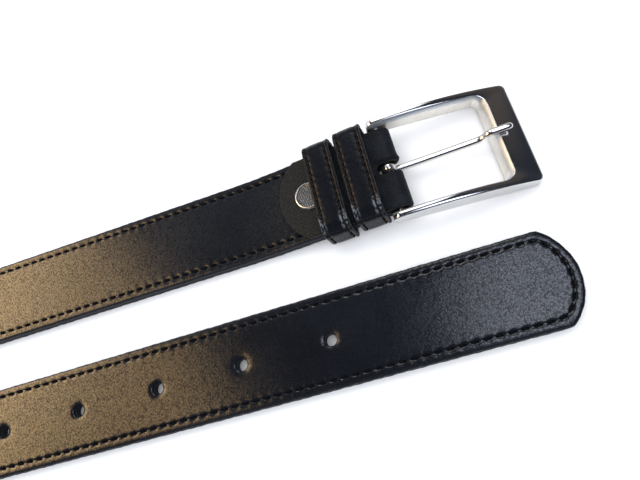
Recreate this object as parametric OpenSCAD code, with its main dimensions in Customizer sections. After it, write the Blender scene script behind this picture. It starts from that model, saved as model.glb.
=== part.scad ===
// Leather dress belt lying open on a table: a stitched strap with five holes, a folded chape that carries a
// chrome pin buckle, and two keepers.
// Lengths are in mm. +X points to the tip and the buckle, +Z is up, and the table is z = 0.
// The origin is on the table, below the centre of the whole belt.
// "l" is a distance along the raised buckle end of the strap and "h" a height above the strap's underside.

/* [Strap] */
// Width of the strap
strap_w = 30; // [25:0.5:35]
// Thickness of the outer leather
leather_t = 2.2; // [1.8:0.1:2.6]
// Thickness of the backing leather
backing_t = 2.0; // [1.6:0.1:2.4]
// Length of strap from the buckle bar to the tip
belt_len = 1052; // [1000:1:1150]
// Distance between the centre lines of the two ends of the strap
leg_gap = 48.2; // [44:0.2:60]
// Distance from the last hole to the end of the tip
tip_len = 76.8; // [70:0.2:90]
// Radius of the rounded tip
tip_r = 18.75; // [17:0.25:30]

/* [Holes and stitching] */
// Number of holes
hole_count = 5; // [3:1:5]
// Distance from one hole to the next
hole_pitch = 30.6; // [28:0.1:32]
// Diameter of a hole
hole_d = 3.8; // [3:0.1:4.5]
// Distance from the strap's edge to the seam
seam_inset = 2.8; // [2:0.1:4]
// Width of the groove that the thread lies in
groove_w = 0.9; // [0.7:0.1:1.2]
// Depth of that groove
groove_t = 0.5; // [0.3:0.1:0.7]
// Width of the thread
thread_w = 0.7; // [0.5:0.1:0.9]

/* [Lie of the belt] */
// Length of the flat stretch from the last hole to the flexing line
flat_len = 150; // [148:1:170]
// Angle by which each end swings outward before the loop
flare = 35; // [25:1:40]
// Radius of that outward swing
flare_r = 120; // [100:1:140]
// Length over which the strap turns on edge
twist_len = 160; // [140:1:180]
// Angle of the raised buckle end
lift = 5.5; // [4:0.5:7]
// Radius of the bend below the raised end
bend_r = 180; // [150:5:220]
// Length of the raised end, from the bend to the buckle bar
raised_len = 40; // [38:0.5:44]
// Distance from the last hole back to the start of the bend
bend_back = 23.5; // [22:0.5:30]

/* [Chape] */
// Thickness of the chape leather
chape_t = 1.3; // [1:0.1:1.5]
// Width of the chape
chape_w = 29.4; // [28:0.1:29.6]
// Where the chape's tab ends, as l
tab_l = 1; // [0.5:0.5:3]
// Radius of the tab's round end
tab_r = 17.8; // [16:0.2:24]
// Width of the prong slot
slot_w = 4; // [3.6:0.1:4.5]
// Where the prong slot starts, as l
slot_l = 36.2; // [35.8:0.1:36.6]
// Centre of the rivet, as l
rivet_l = 11.9; // [11:0.1:13]
// Diameter of the rivet's cap
cap_d = 10; // [8:0.5:11]
// Height of the rivet's cap
cap_t = 1.2; // [1:0.1:1.5]
// Diameter of the rivet's post
post_d = 3.6; // [3:0.1:4]
// Diameter of the rivet's foot
foot_d = 7; // [6:0.1:8]
// Thickness of the rivet's foot
foot_t = 0.6; // [0.4:0.1:0.8]

/* [Keepers] */
// Width of a keeper along the strap
keeper_w = 9.6; // [9:0.1:10]
// Thickness of the keeper leather
keeper_t = 1.4; // [1.2:0.1:1.6]
// Free height above the chape for the belt's tip
keeper_gap = 4.3; // [4.3:0.1:4.8]
// Where the rear keeper starts, as l
rear_l = 14.4; // [14:0.1:15]
// Where the front keeper starts, as l
front_l = 25.9; // [25.7:0.1:26]
// How far each keeper sits off the centre line
keeper_shift = 0.4; // [0:0.1:0.5]

/* [Buckle] */
// Diameter of the buckle bar
bar_d = 3; // [2.8:0.1:3]
// Distance from the bar to the outer end of the frame
frame_len = 44.9; // [42:0.1:48]
// Width of the frame
frame_w = 37.1; // [36.5:0.1:38]
// Inner width of the frame
window_w = 31.0; // [30.4:0.1:31.4]
// Distance from the bar to the inner edge of the end bar
window_len = 36.2; // [35:0.1:38]
// Depth of the frame's base below the bar
frame_base = 1.6; // [1.6:0.1:2]
// Height of the frame's face above the bar, at the bar
face_near = 3.3; // [3:0.1:3.6]
// Height of the frame's face above the bar, at the outer end
face_far = 2.5; // [2.2:0.1:2.8]
// Rise of the arched face above its chord
face_arch = 2.0; // [1.6:0.1:2.2]
// Length of the prong from the bar
prong_len = 40.9; // [40.4:0.1:42]
// Thickness of the prong's shaft
prong_t = 1.9; // [1.6:0.1:2]
// Width of the prong's shaft
prong_w = 2.2; // [1.8:0.1:2.4]
// Angle by which the prong leans sideways
prong_lean = 1.4; // [0:0.1:2]

/* [Hidden] */
$fn = 64;
eps = 0.01;                                   // overreach of a cut beyond the face it opens
flex_gap = 0.15;                              // half of the slit between two sections of strap
glue_gap = 0.1;                               // clearance between pieces that are pressed together
thread_gap = 0.05;                            // clearance of the loop's thread above the groove's floor
half_w = strap_w / 2;
strap_t = leather_t + backing_t;
seam_y = half_w - seam_inset;
bar_r = bar_d / 2;
far = 100;                                    // longer than any piece that a cutting shape has to cross

// The strap's path, seen from above, between the two flexing lines.
loop_r = (leg_gap / 2 + flare_r * (1 - cos(flare))) / cos(flare);
arcs_len = 2 * flare_r * flare * PI / 180 + loop_r * (180 + 2 * flare) * PI / 180;
bar_h = strap_t - 1.5;                        // the bar's axis is level with the strap's pared end
bar_x = -bend_back + (bend_r - bar_h) * sin(lift) + raised_len * cos(lift);
bar_z = bend_r - (bend_r - bar_h) * cos(lift) + raised_len * sin(lift);
flare_x = (tip_len + bar_x + arcs_len - belt_len) / 2;
straight_len = -flat_len - flare_x;
flare_len = flare_r * flare * PI / 180;
round_len = loop_r * (180 + 2 * flare) * PI / 180;
path_len = 2 * (straight_len + flare_len) + round_len;
loop_x = flare_x - (flare_r + loop_r) * sin(flare);

// The frame rests on the table with its outer end.
frame_tilt = asin(bar_z / norm([frame_len, frame_base])) - atan(frame_base / frame_len);
right_x = bar_x + frame_len * cos(frame_tilt) + face_far * sin(frame_tilt);
left_x = loop_x - loop_r - strap_t / 2;
shift_x = -(right_x + left_x) / 2;

leather_color = [0.07, 0.075, 0.09];
backing_color = [0.10, 0.10, 0.12];
thread_color = [0.04, 0.04, 0.05];
chrome_color = [0.80, 0.81, 0.83];
chape_color = [0.13, 0.12, 0.11];

// ---- placing ----

// Moves what is drawn from the last hole to where it lies on the belt's near, tip end.
module on_tip_leg() {
    translate([shift_x, -leg_gap / 2, 0]) children();
}

// The same for the flat stretch of the far, buckle end.
module on_buckle_leg() {
    translate([shift_x, leg_gap / 2, 0]) children();
}

// Places what is drawn in l, y and h on the raised end of the strap.
module on_raised_end() {
    on_buckle_leg() translate([-bend_back, 0, bend_r]) rotate([0, -lift, 0]) translate([0, 0, -bend_r])
        children();
}

// Places what is drawn around the bar's axis, with the frame lying along +X.
module on_frame() {
    on_buckle_leg() translate([bar_x, 0, bar_z]) rotate([0, frame_tilt, 0]) children();
}

// ---- strap: tip section ----

// Outline of the tip section, drawn in by inset on its three free sides.
module tip_outline(inset, start_x) {
    intersection() {
        translate([start_x, -half_w + inset]) square([flat_len + tip_len + eps, strap_w - 2 * inset]);
        union() {
            translate([tip_len - tip_r, 0]) circle(r = tip_r - inset, $fn = 128);
            translate([start_x, -half_w]) square([tip_len - tip_r + (tip_r - half_w) - start_x, strap_w]);
        }
    }
}

// The seam's track around the tip, with a given width and height range.
module tip_seam(track_w, h0, h1) {
    translate([0, 0, h0]) linear_extrude(h1 - h0) difference() {
        tip_outline(seam_inset - track_w / 2, flex_gap - flat_len);
        tip_outline(seam_inset + track_w / 2, -flat_len - 1);
    }
}

module hole_cuts() {
    for (i = [0 : hole_count - 1])
        translate([-i * hole_pitch, 0, -1]) cylinder(h = strap_t + 2, d = hole_d, $fn = 48);
}

module strap_leather_tip() {
    color(leather_color) on_tip_leg() difference() {
        translate([0, 0, backing_t]) linear_extrude(leather_t) tip_outline(0, flex_gap - flat_len);
        tip_seam(groove_w, strap_t - groove_t, strap_t + 1);
        hole_cuts();
    }
}

module strap_backing_tip() {
    color(backing_color) on_tip_leg() difference() {
        linear_extrude(backing_t) tip_outline(0, flex_gap - flat_len);
        hole_cuts();
    }
}

module strap_stitching_tip() {
    color(thread_color) on_tip_leg() tip_seam(thread_w, strap_t - groove_t, strap_t);
}

// ---- strap: loop section ----

function ease(x) = let (c = max(0, min(1, x))) c * c * (3 - 2 * c);

// Heading angle of the path at distance s from the tip's flexing line: 0 points to -X, -180 to +X.
function heading(s) =
    let (a = s - straight_len, b = a - flare_len, c = b - round_len, d = c - flare_len)
    a <= 0 ? 0 :
    b <= 0 ? a / flare_r * 180 / PI :
    c <= 0 ? flare - b / loop_r * 180 / PI :
    d <= 0 ? -180 - flare + c / flare_r * 180 / PI :
    -180;

// Centre of the path, seen from above, at distance s.
function path_at(s) =
    let (a = s - straight_len, b = a - flare_len, c = b - round_len, d = c - flare_len, g = heading(s))
    a <= 0 ? [-flat_len - s, -leg_gap / 2] :
    b <= 0 ? [flare_x - flare_r * sin(g), -leg_gap / 2 - flare_r * (1 - cos(g))] :
    c <= 0 ? [loop_x + loop_r * sin(g), -loop_r * cos(g)] :
    d <= 0 ? [flare_x - flare_r * sin(g), leg_gap / 2 + flare_r * (1 + cos(g))] :
    [flare_x + d, leg_gap / 2];

// How far the strap is turned on edge at distance s: 0 lies flat, 90 stands.
function on_edge(s) = 90 * ease(min(s, path_len - s) / twist_len);

// Point of a cross-section at distance s: u is across the strap, v is out of its face.
function skin_point(s, u, v) =
    let (
        g = heading(s),
        p = path_at(s),
        e = on_edge(s),
        out = [sin(g), -cos(g)],
        side = u * cos(e) + v * sin(e)
    )
    [
        p.x + out.x * side,
        p.y + out.y * side,
        half_w * sin(e) + strap_t / 2 * cos(e) - u * sin(e) + v * cos(e),
    ];

// Stations along the path: close together where the strap turns, further apart around the loop.
twist_steps = 24;
round_steps = 30;
stations = concat(
    [for (i = [0 : twist_steps - 1]) flex_gap + (twist_len - flex_gap) * i / twist_steps],
    [for (i = [0 : round_steps]) twist_len + (path_len - 2 * twist_len) * i / round_steps],
    [for (i = [1 : twist_steps]) path_len - twist_len + (twist_len - flex_gap) * i / twist_steps]
);

// Faces of one swept outline of n points whose first point has the number base. Each strip's diagonal runs
// towards larger u, so that two layers that touch are split the same way.
function swept_faces(outline, base) =
    let (n = len(outline), last = len(stations) - 1)
    concat(
        [
            for (i = [0 : last - 1]) for (j = [0 : n - 1])
                let (k = (j + 1) % n, a = base + i * n + j, b = base + i * n + k, c = a + n, d = b + n)
                each outline[j].x <= outline[k].x ? [[a, d, b], [a, c, d]] : [[a, c, b], [b, c, d]]
        ],
        [[for (j = [0 : n - 1]) base + j], [for (j = [n - 1 : -1 : 0]) base + last * n + j]]
    );

// Sweeps closed outlines of [u, v] points, all with the same number of points, along the path.
module sweep(outlines) {
    count = len(outlines[0]) * len(stations);
    points = [for (o = outlines) for (s = stations) for (q = o) skin_point(s, q.x, q.y)];
    faces = [for (i = [0 : len(outlines) - 1]) each swept_faces(outlines[i], i * count)];
    translate([shift_x, 0, 0]) polyhedron(points, faces);
}

function box_outline(u0, u1, v0, v1) = [[u0, v0], [u1, v0], [u1, v1], [u0, v1]];

// Outline of the outer leather, with both seam grooves.
function leather_outline() =
    let (
        top = strap_t / 2,
        low = backing_t - strap_t / 2,
        floor_v = top - groove_t,
        a = seam_y + groove_w / 2,
        b = seam_y - groove_w / 2
    )
    [
        [-half_w, low], [half_w, low], [half_w, top],
        [a, top], [a, floor_v], [b, floor_v], [b, top],
        [-b, top], [-b, floor_v], [-a, floor_v], [-a, top],
        [-half_w, top],
    ];

module strap_leather_loop() {
    color(leather_color) sweep([leather_outline()]);
}

module strap_backing_loop() {
    color(backing_color) sweep([box_outline(-half_w, half_w, -strap_t / 2, backing_t - strap_t / 2)]);
}

module strap_stitching_loop() {
    low = strap_t / 2 - groove_t + thread_gap;
    color(thread_color) sweep([
        for (at = [-seam_y, seam_y])
            box_outline(at - thread_w / 2, at + thread_w / 2, low, strap_t / 2)
    ]);
}

// ---- strap: buckle section ----

// Point at distance l along the raised end and height h, as seen from the side.
function raised_point(l, h) = [
    -bend_back + l * cos(lift) + (bend_r - h) * sin(lift),
    bend_r + l * sin(lift) - (bend_r - h) * cos(lift),
];

// Point of the bend at angle a and height h.
function bend_point(a, h) = [-bend_back + (bend_r - h) * sin(a), bend_r - (bend_r - h) * cos(a)];

bend_steps = 6;

// Side view of a layer between heights h0 and h1 that ends at l1 on the raised end.
module layer_profile(h0, h1, l1) {
    start_x = flex_gap - flat_len;
    polygon(concat(
        [[start_x, h1], [start_x, h0]],
        [for (i = [0 : bend_steps]) bend_point(lift * i / bend_steps, h0)],
        [raised_point(l1, h0), raised_point(l1, h1)],
        [for (i = [bend_steps : -1 : 0]) bend_point(lift * i / bend_steps, h1)]
    ));
}

// A layer of the buckle section, from y0 to y1 across the strap.
module layer(h0, h1, l1, y0, y1) {
    translate([0, y1, 0]) rotate([90, 0, 0]) linear_extrude(y1 - y0) layer_profile(h0, h1, l1);
}

strap_end_l = raised_len - bar_r - 2;         // the strap stops short of the prong's eye
pare_l = 3;                                   // where the backing is pared down for the chape's lower leg
pared_t = 0.8;                                // thickness that is left of the backing

module rivet_cut(d) {
    on_raised_end() translate([rivet_l, 0, -far / 2]) cylinder(h = far, d = d);
}

module strap_leather_buckle() {
    color(leather_color) difference() {
        on_buckle_leg() difference() {
            layer(backing_t, strap_t, strap_end_l, -half_w, half_w);
            for (side = [-1, 1])
                layer(strap_t - groove_t, strap_t + eps, strap_end_l + 1,
                      side * seam_y - groove_w / 2, side * seam_y + groove_w / 2);
        }
        rivet_cut(post_d);
    }
}

module strap_backing_buckle() {
    color(backing_color) difference() {
        on_buckle_leg() layer(0, backing_t, strap_end_l, -half_w, half_w);
        on_raised_end() translate([pare_l, -far / 2, -far]) cube([far, far, far + backing_t - pared_t]);
        rivet_cut(post_d);
    }
}

module strap_stitching_buckle() {
    for (side = [-1, 1])
        color(thread_color) on_buckle_leg()
            layer(strap_t - groove_t, strap_t, strap_end_l,
                  side * seam_y - thread_w / 2, side * seam_y + thread_w / 2);
}

// ---- chape and rivet ----

fold_r = bar_r + glue_gap;                    // inner radius of the fold around the bar
lower_leg_l = pare_l + 1;                     // where the chape's lower leg ends
top_h = bar_h + fold_r + chape_t;             // upper face of the chape
under_h = bar_h - fold_r - chape_t;           // lower face of the chape

// Side view of the chape: two legs and the fold around the bar.
module chape_profile() {
    translate([raised_len, bar_h]) intersection() {
        difference() {
            circle(r = fold_r + chape_t);
            circle(r = fold_r);
        }
        translate([0, -far / 2]) square([far, far]);
    }
    translate([tab_l, bar_h + fold_r]) square([raised_len - tab_l, chape_t]);
    translate([lower_leg_l, under_h]) square([raised_len - lower_leg_l, chape_t]);
}

module chape() {
    color(chape_color) on_raised_end() difference() {
        translate([0, chape_w / 2, 0]) rotate([90, 0, 0]) linear_extrude(chape_w) chape_profile();
        // round end of the tab
        translate([0, 0, bar_h]) linear_extrude(far) difference() {
            translate([-far, -far / 2]) square([far + tab_l + tab_r, far]);
            translate([tab_l + tab_r, 0]) circle(r = tab_r, $fn = 128);
            translate([tab_l + tab_r / 2, -far / 2]) square([far, far]);
        }
        // slot for the prong, open at the fold
        translate([0, 0, -far / 2]) linear_extrude(far) {
            translate([slot_l + slot_w / 2, 0]) circle(d = slot_w);
            translate([slot_l + slot_w / 2, -slot_w / 2]) square([far, slot_w]);
        }
        translate([rivet_l, 0, -far / 2]) cylinder(h = far, d = post_d);
        translate([rivet_l, 0, under_h - 1]) cylinder(h = 1 + foot_t, d = foot_d);
    }
}

// A shallow dome with a rim around a sunk middle.
module rivet_cap() {
    rim_w = 0.9;
    sunk = 0.3;
    dome_r = (cap_d * cap_d / 4 + cap_t * cap_t) / (2 * cap_t);
    color(chrome_color) on_raised_end() translate([rivet_l, 0, top_h]) difference() {
        rotate_extrude() intersection() {
            translate([0, cap_t - dome_r]) circle(r = dome_r, $fn = 256);
            square([cap_d / 2, cap_t]);
        }
        translate([0, 0, cap_t - sunk]) cylinder(h = 1, d = cap_d - 2 * rim_w);
        translate([0, 0, -1]) cylinder(h = 1 + cap_t / 3, d = post_d);
    }
}

module rivet_post() {
    color(chrome_color) on_raised_end() translate([rivet_l, 0, 0]) {
        translate([0, 0, under_h]) cylinder(h = foot_t, d = foot_d);
        translate([0, 0, under_h]) cylinder(h = top_h + cap_t / 3 - under_h, d = post_d);
    }
}

// ---- keepers ----

keeper_in_w = strap_w + 2 * keeper_shift + 1;
keeper_floor = under_h - glue_gap;            // inner face of the keeper's underside
keeper_roof = top_h + keeper_gap;             // inner face of the keeper's top
low_corner = 0.9;                             // inner corner radii of a keeper
high_corner = 2.6;

// Outline of a keeper seen along the strap, grown outward from its inner face.
module keeper_outline(grow) {
    w = keeper_in_w / 2;
    rb = low_corner + grow;
    rt = high_corner + grow;
    for (side = [-1, 1]) {
        translate([side * (w - low_corner), keeper_floor + low_corner]) circle(r = rb);
        translate([side * (w - high_corner), keeper_roof - high_corner]) circle(r = rt);
    }
    translate([low_corner - w, keeper_floor - grow]) square([2 * (w - low_corner), 3]);
    translate([-w - grow, keeper_floor + low_corner])
        square([2 * (w + grow), keeper_roof - high_corner - keeper_floor - low_corner]);
    translate([high_corner - w, keeper_roof - 3]) square([2 * (w - high_corner), 3 + grow]);
}

// A band around the stack from l to l + w, between two growths of the outline.
module keeper_band(l, w, inner, outer, shift_y) {
    on_raised_end() translate([l, shift_y, 0]) rotate([90, 0, 90]) linear_extrude(w) difference() {
        keeper_outline(outer);
        keeper_outline(inner);
    }
}

keeper_seam = 1.4;                            // distance from a keeper's edge to its seam
keeper_thread_t = 0.4;                        // depth of a keeper's seam groove
staple_wire = 0.6;
staple_len = 6;

module keeper_seams(l, track_w, shift_y, outer) {
    for (at = [keeper_seam, keeper_w - keeper_seam])
        keeper_band(l + at - track_w / 2, track_w, keeper_t - keeper_thread_t, outer, shift_y);
}

// The wire staple that closes the band, sunk in the inner face of its underside.
module staple(l, shift_y, grow) {
    on_raised_end() translate([l + keeper_w / 2, shift_y, keeper_floor])
        translate([-staple_wire / 2 - grow, -staple_len / 2 - grow, -staple_wire])
            cube([staple_wire + 2 * grow, staple_len + 2 * grow, staple_wire]);
}

module keeper(l, shift_y) {
    color(leather_color) difference() {
        keeper_band(l, keeper_w, 0, keeper_t, shift_y);
        keeper_seams(l, groove_w, shift_y, keeper_t + 1);
        staple(l, shift_y, eps);
    }
}

module keeper_stitching(l, shift_y) {
    color(thread_color) keeper_seams(l, thread_w, shift_y, keeper_t);
}

module keeper_staple(l, shift_y) {
    color(chrome_color) staple(l, shift_y, 0);
}

module keeper_rear() { keeper(rear_l, -keeper_shift); }
module keeper_rear_stitching() { keeper_stitching(rear_l, -keeper_shift); }
module keeper_rear_staple() { keeper_staple(rear_l, -keeper_shift); }
module keeper_front() { keeper(front_l, keeper_shift); }
module keeper_front_stitching() { keeper_stitching(front_l, keeper_shift); }
module keeper_front_staple() { keeper_staple(front_l, keeper_shift); }

// ---- buckle ----

arm_end_r = (frame_base + face_near) / 2;     // the arms end in a half round
arm_end_x = -0.9;                             // centre of that half round
arm_end_z = face_near - arm_end_r;
frame_corner = 2;                             // outer corner radius of the frame
window_corner = 3.5;                          // inner corner radius of the frame

// The circle of the arched face passes through both ends of its chord.
chord = [frame_len - arm_end_x, face_far - face_near];
arch_r = norm(chord) * norm(chord) / (8 * face_arch) + face_arch / 2;
chord_mid = [(frame_len + arm_end_x) / 2, (face_far + face_near) / 2];
arch_centre = chord_mid + (arch_r - face_arch) * [chord.y, -chord.x] / norm(chord);

// Height of the frame's arched face at x.
function face_z(x) = arch_centre.y + sqrt(arch_r * arch_r - pow(x - arch_centre.x, 2));

arm_end_steps = 12;
arch_steps = 16;

// Side view of the frame: a flat base, an arched face and round arm ends.
module frame_profile() {
    polygon(concat(
        [for (i = [0 : arm_end_steps])
            let (a = 90 + 180 * i / arm_end_steps)
            [arm_end_x + arm_end_r * cos(a), arm_end_z + arm_end_r * sin(a)]],
        [[frame_len, -frame_base]],
        [for (i = [0 : arch_steps - 1])
            let (x = frame_len - (frame_len - arm_end_x) * i / arch_steps)
            [x, face_z(x)]]
    ));
}

// A rectangle from x0 to x1 whose two far corners are round.
module u_outline(x0, x1, w, r) {
    translate([x0, -w / 2]) square([x1 - x0 - r, w]);
    translate([x0, r - w / 2]) square([x1 - x0, w - 2 * r]);
    for (side = [-1, 1]) translate([x1 - r, side * (w / 2 - r)]) circle(r = r);
}

socket_depth = 1.6;                           // how deep the bar is pressed into each arm

module buckle_frame() {
    color(chrome_color) on_frame() difference() {
        intersection() {
            translate([0, far / 2, 0]) rotate([90, 0, 0]) linear_extrude(far) frame_profile();
            translate([0, 0, -far / 2]) linear_extrude(far) difference() {
                u_outline(-far, frame_len, frame_w, frame_corner);
                u_outline(-far - 1, window_len, window_w, window_corner);
            }
        }
        bar_shape();
    }
}

module bar_shape() {
    half = window_w / 2 + socket_depth;
    translate([0, half, 0]) rotate([90, 0, 0]) cylinder(h = 2 * half, r = bar_r);
}

module buckle_bar() {
    color(chrome_color) on_frame() bar_shape();
}

eye_clearance = 0.08;                         // running clearance of the prong on the bar
eye_wall = 1.0;
tip_gap = 0.05;                               // gap under the prong's tip at rest
tip_t = 2.2;                                  // thickness and width of the prong's tip
tip_w = 2.4;
root_z = -1.4;                                // middle of the shaft at its root, low on the eye
neck_x = 30.4;                                // where the shaft steps up to the tip
neck_z = 2.1;                                 // middle of the shaft there
neck_len = 2.8;

tip_z = face_z(window_len) + tip_gap;         // underside of the tip at the inner edge of the end bar
tip_start_z = tip_z - 0.3;                    // the tip rises a little towards its end
tip_end_z = tip_z + 0.5;

// Side view of the prong.
module prong_profile() {
    root_x = 1.0;
    tip_x = neck_x + neck_len;
    difference() {
        union() {
            circle(r = bar_r + eye_clearance + eye_wall);
            polygon([
                [root_x, root_z - prong_t / 2], [neck_x, neck_z - prong_t / 2], [tip_x, tip_start_z],
                [prong_len - 0.6, tip_end_z], [prong_len, tip_end_z + 0.6],
                [prong_len, tip_end_z + tip_t - 0.8], [prong_len - 0.8, tip_end_z + tip_t],
                [tip_x - 0.4, tip_start_z + tip_t], [neck_x - 0.6, neck_z + prong_t / 2],
                [root_x, root_z + prong_t / 2],
            ]);
        }
        circle(r = bar_r + eye_clearance);
    }
}

// Plan of the prong: a slim shaft and a broader, rounded tip.
module prong_plan() {
    translate([-5, -prong_w / 2]) square([neck_x + 6, prong_w]);
    translate([neck_x + 0.5, -tip_w / 2]) square([prong_len - neck_x - 0.5 - tip_w / 2, tip_w]);
    translate([prong_len - tip_w / 2, 0]) circle(d = tip_w);
}

module prong() {
    color(chrome_color) on_frame() {
        intersection() {
            translate([0, far / 2, 0]) rotate([90, 0, 0]) linear_extrude(far) prong_profile();
            union() {
                rotate([0, 0, prong_lean]) translate([0, 0, -far / 2]) linear_extrude(far) difference() {
                    prong_plan();
                    translate([-far, -far / 2]) square([far + 2.2, far]);
                }
                translate([-5, -1.2, -5]) cube([7.4, 2.4, 10]);
            }
        }
    }
}

strap_leather_tip();
strap_backing_tip();
strap_stitching_tip();
strap_leather_loop();
strap_backing_loop();
strap_stitching_loop();
strap_leather_buckle();
strap_backing_buckle();
strap_stitching_buckle();
chape();
rivet_cap();
rivet_post();
keeper_rear();
keeper_rear_stitching();
keeper_rear_staple();
keeper_front();
keeper_front_stitching();
keeper_front_staple();
buckle_frame();
buckle_bar();
prong();
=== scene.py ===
"""Looks of a leather dress belt: its strap, stitching, chape, keepers, chrome pin buckle and rivet.

Every shape is drawn in millimetres in the frame of the CAD model.
It is turned into metres when its mesh is made.
"""

import math

import bmesh
import bpy
from mathutils import Euler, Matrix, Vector
from mathutils.geometry import delaunay_2d_cdt


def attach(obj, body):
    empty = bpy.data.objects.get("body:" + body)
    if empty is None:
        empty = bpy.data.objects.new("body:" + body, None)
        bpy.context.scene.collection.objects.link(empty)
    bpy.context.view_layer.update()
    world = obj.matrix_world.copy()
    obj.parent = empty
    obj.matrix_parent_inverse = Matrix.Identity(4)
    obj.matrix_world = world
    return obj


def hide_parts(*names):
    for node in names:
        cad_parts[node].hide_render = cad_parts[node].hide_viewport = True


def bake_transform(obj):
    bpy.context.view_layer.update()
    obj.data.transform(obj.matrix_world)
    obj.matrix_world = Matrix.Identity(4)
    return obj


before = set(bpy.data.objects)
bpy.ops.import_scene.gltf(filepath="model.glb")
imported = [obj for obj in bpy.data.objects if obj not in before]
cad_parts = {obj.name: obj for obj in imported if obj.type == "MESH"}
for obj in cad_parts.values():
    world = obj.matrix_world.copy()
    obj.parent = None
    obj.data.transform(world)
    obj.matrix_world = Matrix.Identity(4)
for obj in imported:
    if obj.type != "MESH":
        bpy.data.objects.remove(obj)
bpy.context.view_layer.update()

MM = 0.001
UP = Vector((0, 0, 1))

# ---- sizes of the CAD model ----

STRAP_W = 30.0
LEATHER_T = 2.2
BACKING_T = 2.0
BELT_LEN = 1052.0
LEG_GAP = 48.2
TIP_LEN = 76.8
TIP_R = 18.75
HOLE_COUNT = 5
HOLE_PITCH = 30.6
HOLE_R = 1.9
SEAM_INSET = 2.8
FLAT_LEN = 150.0
FLARE = math.radians(35)
FLARE_R = 120.0
TWIST_LEN = 160.0
LIFT = math.radians(5.5)
BEND_R = 180.0
RAISED_LEN = 40.0
BEND_BACK = 23.5
CHAPE_T = 1.3
CHAPE_W = 29.4
TAB_L = 1.0
TAB_R = 17.8
SLOT_W = 4.0
SLOT_L = 36.2
LOWER_LEG_L = 4.0
RIVET_L = 11.9
POST_R = 1.8
FOOT_R = 3.5
FOOT_T = 0.6
CAP_R = 5.0
KEEPER_W = 9.6
KEEPER_T = 1.4
KEEPER_GAP = 4.3
REAR_L = 14.4
FRONT_L = 25.9
KEEPER_SHIFT = 0.4
BAR_R = 1.5
FOLD_R = BAR_R + 0.1
FRAME_LEN = 44.9
FRAME_W = 37.1
WINDOW_W = 31.0
FRAME_BASE = 1.6
FACE_NEAR = 3.3
FACE_FAR = 2.5
FACE_ARCH = 2.0
PRONG_LEAN = math.radians(1.4)

HALF_W = STRAP_W / 2
STRAP_T = LEATHER_T + BACKING_T
TOP_V = STRAP_T / 2
JOIN_V = BACKING_T - STRAP_T / 2
BAR_H = STRAP_T - 1.5
TOP_H = BAR_H + FOLD_R + CHAPE_T
UNDER_H = BAR_H - FOLD_R - CHAPE_T
STRAP_END_L = RAISED_LEN - BAR_R - 2

LOOP_R = (LEG_GAP / 2 + FLARE_R * (1 - math.cos(FLARE))) / math.cos(FLARE)
FLARE_ARC = FLARE_R * FLARE
ROUND_ARC = LOOP_R * (math.pi + 2 * FLARE)
BAR_X = -BEND_BACK + (BEND_R - BAR_H) * math.sin(LIFT) + RAISED_LEN * math.cos(LIFT)
BAR_Z = BEND_R - (BEND_R - BAR_H) * math.cos(LIFT) + RAISED_LEN * math.sin(LIFT)
FLARE_X = (TIP_LEN + BAR_X + 2 * FLARE_ARC + ROUND_ARC - BELT_LEN) / 2
STRAIGHT_LEN = -FLAT_LEN - FLARE_X
PATH_LEN = 2 * (STRAIGHT_LEN + FLARE_ARC) + ROUND_ARC
LOOP_X = FLARE_X - (FLARE_R + LOOP_R) * math.sin(FLARE)
FRAME_TILT = math.asin(BAR_Z / math.hypot(FRAME_LEN, FRAME_BASE)) - math.atan(FRAME_BASE / FRAME_LEN)
RIGHT_X = BAR_X + FRAME_LEN * math.cos(FRAME_TILT) + FACE_FAR * math.sin(FRAME_TILT)
LEFT_X = LOOP_X - LOOP_R - STRAP_T / 2
SHIFT_X = -(RIGHT_X + LEFT_X) / 2

# ---- sizes of the visible detail ----

STITCH = 3.65                                  # length of a strap stitch
STITCH_STEPS = 4                               # mesh stations to a stitch
STITCH_SKEW = 0.16                             # how far a stitch slants to each side
KEEPER_STITCH = 2.7
THREAD_R = 0.34
THREAD_SIDES = 6
BACK_THREAD_R = THREAD_R * 0.8
BACK_THREAD_DEPTH = 2.0                        # the back's stitches lie twice as deep
KEEPER_THREAD_R = 0.30
KEEPER_THREAD_DEPTH = 0.75


# ---- mesh building ----

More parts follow.
